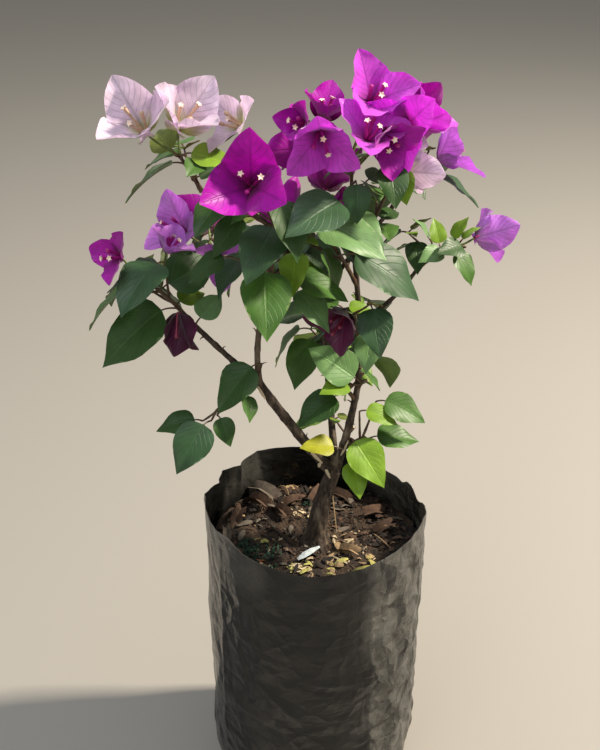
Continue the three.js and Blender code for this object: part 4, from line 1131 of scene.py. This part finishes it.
# The true flowers: two or three slender tubes in each bloom, each on the foot of a bract. The tube is
# coloured as the bracts are, narrow in its waist, and opens in a small cream star of five lobes.
# The tube of a shaded magenta bloom is darker as painted shade, and it bears buds only.
FLOWER_COLOURS = {
    "magenta": "#a8207f", "cream star": "#f3dcc8", "maroon": "#7a2440", "greenish": "#c9a98c",
}
FLOWER_OF = {
    "magenta": "magenta", "lilac": "magenta", "sunlit magenta": "magenta", "white": "greenish", "maroon": "maroon",
}
TUBE_LENGTH_SHARE, TUBE_SHORTER = 0.56, 0.12
TUBE_PROFILE = [(0, 0.5), (0.12, 1.15), (0.35, 1.05), (0.6, 0.75), (0.85, 1.05), (1, 1.3)]
TUBE_PARTS, TUBE_SIDES, TUBE_TWIST = 12, 8, 50
TUBE_LEAN, TUBE_FOOT, TUBE_BULGE = 0.3, 0.8, 0.9
BUD_HEIGHTS, BUD_RADII = (0, 1.8, 3), [1.3, 1.5, 0.3]
STAR_LOBES, STAR_RADIUS, STAR_NOTCH = 5, 2.3, 0.55
STAR_TIP_LIFT, STAR_NOTCH_LIFT, STAR_DEPTH, STAR_CROWN = 0.3, 0.9, 0.3, 0.5
flowers = []
kinds = list(FLOWER_COLOURS)
for k, (base, axis, length, colour) in enumerate(flower_places):
    across = axis.orthogonal().normalized()
    for n in range(3):
        out = Quaternion(axis, math.radians(120 * n + TUBE_TWIST * k)) @ across
        reach = length * TUBE_LENGTH_SHARE * (1 - TUBE_SHORTER * ((n + k) % 3))
        lean = (axis + out * TUBE_LEAN).normalized()
        top = base + lean * reach
        line = bent(base + out * TUBE_FOOT, base.lerp(top, 0.5) + out * TUBE_BULGE, top, TUBE_PARTS + 1)
        radii = [np.interp(i / TUBE_PARTS, *zip(*TUBE_PROFILE)) for i in range(TUBE_PARTS + 1)]
        kind = kinds.index(FLOWER_OF[colour])
        flowers.append(finished(tube(line, radii, TUBE_SIDES), kind))
        if (n + k) % 3 == 2 or colour == "maroon":
            bud = tube([top + lean * height for height in BUD_HEIGHTS], BUD_RADII, TUBE_SIDES)
            flowers.append(finished(bud, kind))
            continue
        rim = []
        for j in range(STAR_LOBES * 2):
            spread = Quaternion(lean, math.pi * j / STAR_LOBES) @ out
            wide = STAR_RADIUS if j % 2 == 0 else STAR_RADIUS * STAR_NOTCH
            rim.append(top + spread * wide + lean * (STAR_TIP_LIFT if j % 2 == 0 else STAR_NOTCH_LIFT))
        star = [top - lean * STAR_DEPTH, *rim, top + lean * STAR_CROWN]
        corners = range(1, STAR_LOBES * 2 + 1)
        faces = [(0, j % (STAR_LOBES * 2) + 1, j) for j in corners]
        faces += [(STAR_LOBES * 2 + 1, j, j % (STAR_LOBES * 2) + 1) for j in corners]
        flowers.append(finished((star, faces), kinds.index("cream star")))

# Waxy flower tubes and stars: satin, with a blush that comes and goes every 4 mm.
finishes = []
for name, colour in FLOWER_COLOURS.items():
    material, tree, shader, place = new_material("waxy flower tube, " + name)
    blush = add_node(tree, "TexNoise", {"Vector": place, "Scale": 1 / (4 * MM), "Detail": 2}).outputs["Fac"]
    tree.links.new(shaded(tree, linear(colour), blush, (0.3, 0.7), (0.85, 1.1)), shader["Base Color"])
    shader["Roughness"].default_value = 0.45
    finishes.append(material)
belongs(joined("flowers", flowers, finishes), "foliage", *bloom_masses)

# The leaves: ovate with a drawn-out tip, folded at the midrib, drooping from a thin stalk. Each starts from
# the solids' own rule, and is turned on its twig, or left off, where it would cross what stands.
LEAF = {
    "shares": (0, 0.03, 0.08, 0.16, 0.26, 0.37, 0.48, 0.59, 0.69, 0.78, 0.86, 0.92, 0.97, 1), "width": 0.74,
    "base": 0.48, "tip": 1.12, "fold": 17, "cup": -0.16, "wave": 0.03, "waves": 1.8, "thick": 0.4,
}
PETIOLE_SHARE, PETIOLE_RISE, PETIOLE_HANG = 0.2, 20, 0.5
PETIOLE_RADII, PETIOLE_POINTS, PETIOLE_CROOK, PETIOLE_LIFT = (0.65, 0.5), 6, 0.55, 0.16
TURN_SPREAD, ROLL_SPREAD, LENGTH_SPREAD = 12, 24, 0.14
CURL_RANGE = (18, 42)
# The shaded bluish tint is green made darker and bluer as painted shade, for leaves deep in the masses; the
# pale tint is green made paler and greyer as painted sunlit gloss, for leaves that face the light.
LEAF_TINTS = {
    "dark": ("#2e5218", "#5c7a48"), "shaded bluish": ("#30542c", "#66805c"), "mid": ("#466f22", "#758f4c"),
    "bright": ("#86ad2c", "#9bb653"), "pale": ("#6f9659", "#93ab78"), "yellow": ("#b4b52a", "#b6ba4e"),
    "young": ("#7c8a34", "#8d8147"),
}
CURL_TO_PHASE = 7
leaves, petioles = [], []
tints = list(LEAF_TINTS)


def skyward(direction, roll):
    """The upper side of a leaf faces the sky as far as its direction lets it, rolled a little."""
    up = (Vector((0, 0, 1)) - direction * direction.z).normalized()
    return Quaternion(direction, math.radians(roll)) @ up


def hang_leaf(root, own, habit, tint):
    """Hangs a leaf with its stalk from a twig's point, where it is clear of all but its own twig."""
    stalk = habit["length"] * PETIOLE_SHARE

    def leaf_at(extra):
        turn = habit["turn"] + extra
        foot = root + heading(turn, PETIOLE_RISE - habit["droop"] * PETIOLE_HANG) * stalk
        direction = heading(turn, -habit["droop"])
        up = skyward(direction, habit["roll"])
        return [(*blade(foot, direction, up, habit["length"], LEAF, habit["curl"], habit["phase"]), foot)]

    made, tested = first_clear(leaf_at, lambda body: body is own)
    if not made:
        return
    points, faces, uv, foot = made[0]
    standing.append(tested)
    leaves.append((points, faces, two_sided(tints.index(tint), faces), uv))
    crook = root.lerp(foot, PETIOLE_CROOK) + Vector((0, 0, stalk * PETIOLE_LIFT))
    radii = np.linspace(*PETIOLE_RADII, PETIOLE_POINTS)
    petioles.append(finished(tube(bent(root, crook, foot, PETIOLE_POINTS), radii, 5)))


for filling in (False, True):
    for m, mass in enumerate(plant):
        draw = stream(LEAF_SEED + SEED_STEP * (2 * m + filling))
        for twig in mass["twigs"]:
            if "leaf" not in twig or ("leaves" in twig) != filling:
                continue
            count = twig.get("leaves", 1)
            for i in range(count):
                habit = {
                    "turn": twig["turn"] + i * GOLDEN_ANGLE + (next(draw) - 0.5) * TURN_SPREAD,
                    "droop": twig["droop"] + (next(draw) - 0.5) * TURN_SPREAD,
                    "length": twig["leaf"] * (1 + (next(draw) - 0.5) * LENGTH_SPREAD),
                    "roll": twig["roll"] + (next(draw) - 0.5) * ROLL_SPREAD,
                    "curl": within(CURL_RANGE, next(draw)),
                }
                habit["phase"] = habit["curl"] / CURL_TO_PHASE % 1
                root = twig["line"][round(TWIG_PARTS * (1 - LEAF_STRETCH * i / count))]
                hang_leaf(root, twig["solid"], habit, twig["tint"])

# Finer growth within the same reach: young leaves at each filling twig's end, and short side twigs along the
# stems, each with two small leaves. Their sizes and hang are drawn within these ranges.
YOUNG_SEED = 9000
YOUNG = {"from": 110, "step": 120, "loose": 30, "droop": (-55, 10), "length": (8, 17), "curl": (10, 30)}
SIDE = {"from": 0, "step": 180, "loose": 40, "droop": (-20, 30), "length": (14, 26), "curl": CURL_RANGE}
SMALL_ROLL = (-30, 30)
SIDE_TWIGS = {
    "count": 3, "first": 6, "step": 5, "rise": (10, 60), "length": (9, 16), "radii": (0.7, 0.45), "points": 5,
}


def small_habit(draw, turn, i, ranges):
    """How the first or second small leaf at a turn hangs."""
    return {
        "turn": turn + ranges["from"] + ranges["step"] * i + ranges["loose"] * next(draw),
        "droop": within(ranges["droop"], next(draw)),
        "length": within(ranges["length"], next(draw)),
        "roll": within(SMALL_ROLL, next(draw)),
        "curl": within(ranges["curl"], next(draw)),
        "phase": next(draw),
    }


side_twigs = []
for m, mass in enumerate(plant):
    draw = stream(YOUNG_SEED + SEED_STEP * m)
    for twig in (twig for twig in mass["twigs"] if "leaves" in twig):
        for i, tint in enumerate(("bright", "young")):
            hang_leaf(twig["line"][-1], twig["solid"], small_habit(draw, twig["turn"], i, YOUNG), tint)
    for k in range(SIDE_TWIGS["count"]):
        start = mass["stem"][SIDE_TWIGS["first"] + SIDE_TWIGS["step"] * k]
        turn = within((0, 360), next(draw))
        way = heading(turn, within(SIDE_TWIGS["rise"], next(draw)))
        end = start + way * within(SIDE_TWIGS["length"], next(draw))
        line = bent(start, start.lerp(end, 0.5), end, SIDE_TWIGS["points"])
        shape = grown(line, SIDE_TWIGS["radii"], 5)
        body = solid(*shape)
        if any(meets(body, thing) for thing in standing if thing is not mass["solid"]):
            continue
        standing.append(body)
        side_twigs.append(finished(shape))
        for i in range(2):
            tint = FILL_TINTS[(m + k + i) % len(FILL_TINTS)]
            hang_leaf(end, body, small_habit(draw, turn, i, SIDE), tint)

# Leaves of bougainvillea: a smooth cuticle with a waxy gloss over deep green, pale veins pressed in a little,
# and a duller, paler under side. Young ones are yellow-green and lit through. The shaded bluish tint is
# painted shade, and the pale tint is painted sunlit gloss.
LEAF_FINISH = {"sheen": 0.15, "shine": 1.25, "relief": 0.55, "veins": (7.5, 0.42, 0.93)}
THIN_LEAVES = ("bright", "yellow", "young")
finishes = []
for name, sides in LEAF_TINTS.items():
    for side, colour in zip(("upper", "under"), sides):
        lit = {"gloss": 0.46 if side == "upper" else 0.6, "through": 0.34 if name in THIN_LEAVES else 0.2}
        finishes.append(thin_blade(f"waxy leaf, {name} {side}", colour, colour, **lit, **LEAF_FINISH))
belongs(joined("leaves", leaves, finishes), "foliage", *mass_names)

# Stems, twigs and leaf stalks: green wood that turns dark red-brown in the sun, with a hooked thorn at many
# of the nodes. All are round and tapered.
THORN_SEED = 4100
THORN_LENGTH = (3.5, 7)
THORN_RADII, THORN_HOOK, THORN_BACK = [0.75, 0.55, 0.4, 0.25, 0.06], 0.2, 0.35
THORN_FIRST, THORN_STEP, THORN_SUNK = 5, 9, 0.7
wood = []
for mass in plant:
    wood.append(finished(mass["shape"]))
    wood += [finished(twig["shape"], int("bloom" in twig)) for twig in mass["twigs"]]
wood += side_twigs


def thorn(root, out, along, length):
    """A thorn outwards from its root, with its tip hooked along the stem."""
    tip = root + out * length + along * length * THORN_HOOK
    line = bent(root, root.lerp(tip, 0.6) + along * length * THORN_BACK, tip, len(THORN_RADII))
    return tube(line, THORN_RADII, 5)


draw = stream(THORN_SEED)
for name in LIMBS:
    line = limb_line(name, LIMB_POINTS)
    for i in range(THORN_FIRST, LIMB_POINTS - 2, THORN_STEP):
        along = (line[i + 1] - line[i]).normalized()
        out = Quaternion(along, 2 * math.pi * next(draw)) @ along.orthogonal().normalized()
        length = within(THORN_LENGTH, next(draw))
        radius = within(LIMBS[name][3], i / LIMB_POINTS)
        if name != "trunk":
            wood.append(finished(thorn(line[i] + out * radius * THORN_SUNK, out, along, length)))
wood += petioles

# Green wood: a thin satin skin, freckled 2.5 mm apart, red-brown on stems and green under the blooms.
finishes = []
for name, (young, old) in {"reddened": ("#5d4a2c", "#3f2119"), "green": ("#6c7d33", "#4d5a26")}.items():
    material, tree, shader, place = new_material("green wood, " + name)
    freckled = {"Vector": place, "Scale": 1 / (2.5 * MM), "Detail": 4}
    freckles = add_node(tree, "TexNoise", freckled).outputs["Fac"]
    shade = {"Value": freckles, "From Min": 0.38, "From Max": 0.64}
    blend = {"Factor": add_node(tree, "MapRange", shade).outputs["Result"], 6: linear(young), 7: linear(old)}
    mixed = add_node(tree, "Mix", blend, data_type="RGBA").outputs[2]
    worked_surface(tree, shader, mixed, roughness=0.5, height=freckles, strength=0.4, depth=0.3)
    finishes.append(material)
belongs(joined("twigs", wood, finishes), "foliage", *mass_names)

# The studio: a pale matt floor that runs on past the picture, a small strong lamp high at the right for the
# sun, a wide soft one above for the sky, a weak one low at the front left, and a pale room all round. Each
# lamp has its place and size in metres, its power in watts and its colour.
bpy.ops.object.select_all(action="DESELECT")
bpy.ops.mesh.primitive_plane_add(size=12, location=(0, 0, 0))
floor = bpy.context.object
floor.name = "studio_floor"
material, tree, shader, place = new_material("matt studio paint")
shader["Base Color"].default_value = linear("#9d9890")
shader["Roughness"].default_value = 0.9
floor.data.materials.append(material)

LAMPS = [
    ("sun_lamp", (1.86, 0.16, 2.14), 0.2, 140, "#fff3e0"),
    ("sky_lamp", (-0.3, -0.4, 2.4), 1.8, 24, "#eaf1ff"),
    ("fill_lamp", (-1.3, -2.1, 0.9), 0.9, 11, "#f3f1ea"),
]
AIM = Vector((0, 0, 0.33))
for name, place, size, power, colour in LAMPS:
    lamp = bpy.data.lights.new(name, "AREA")
    lamp.size = size
    lamp.energy = power
    lamp.color = linear(colour)[:3]
    stand = bpy.data.objects.new(name, lamp)
    stand.location = place
    stand.rotation_euler = (AIM - Vector(place)).to_track_quat("-Z", "Y").to_euler()
    bpy.context.collection.objects.link(stand)

world = bpy.data.worlds.new("pale room")
world.use_nodes = True
world.node_tree.nodes["Background"].inputs["Color"].default_value = linear("#e6e8e6")
world.node_tree.nodes["Background"].inputs["Strength"].default_value = 0.45
bpy.context.scene.world = world
bpy.context.scene.view_settings.view_transform = "Standard"

# The camera stands where the photographer's did: about 0.6 m in front, looking 27 degrees down at the crown.
CAMERA_PLACE, CAMERA_TILT = (-0.0112, -0.6, 0.6653), 62.8
SENSOR_MM, LENS_MM, NEAREST = 36, 48, 0.05
camera = bpy.data.objects.new("camera", bpy.data.cameras.new("camera"))
camera.location = CAMERA_PLACE
camera.rotation_euler = (math.radians(CAMERA_TILT), 0, 0)
camera.data.sensor_width = SENSOR_MM
camera.data.lens = LENS_MM
camera.data.clip_start = NEAREST
bpy.context.collection.objects.link(camera)
bpy.context.scene.camera = camera
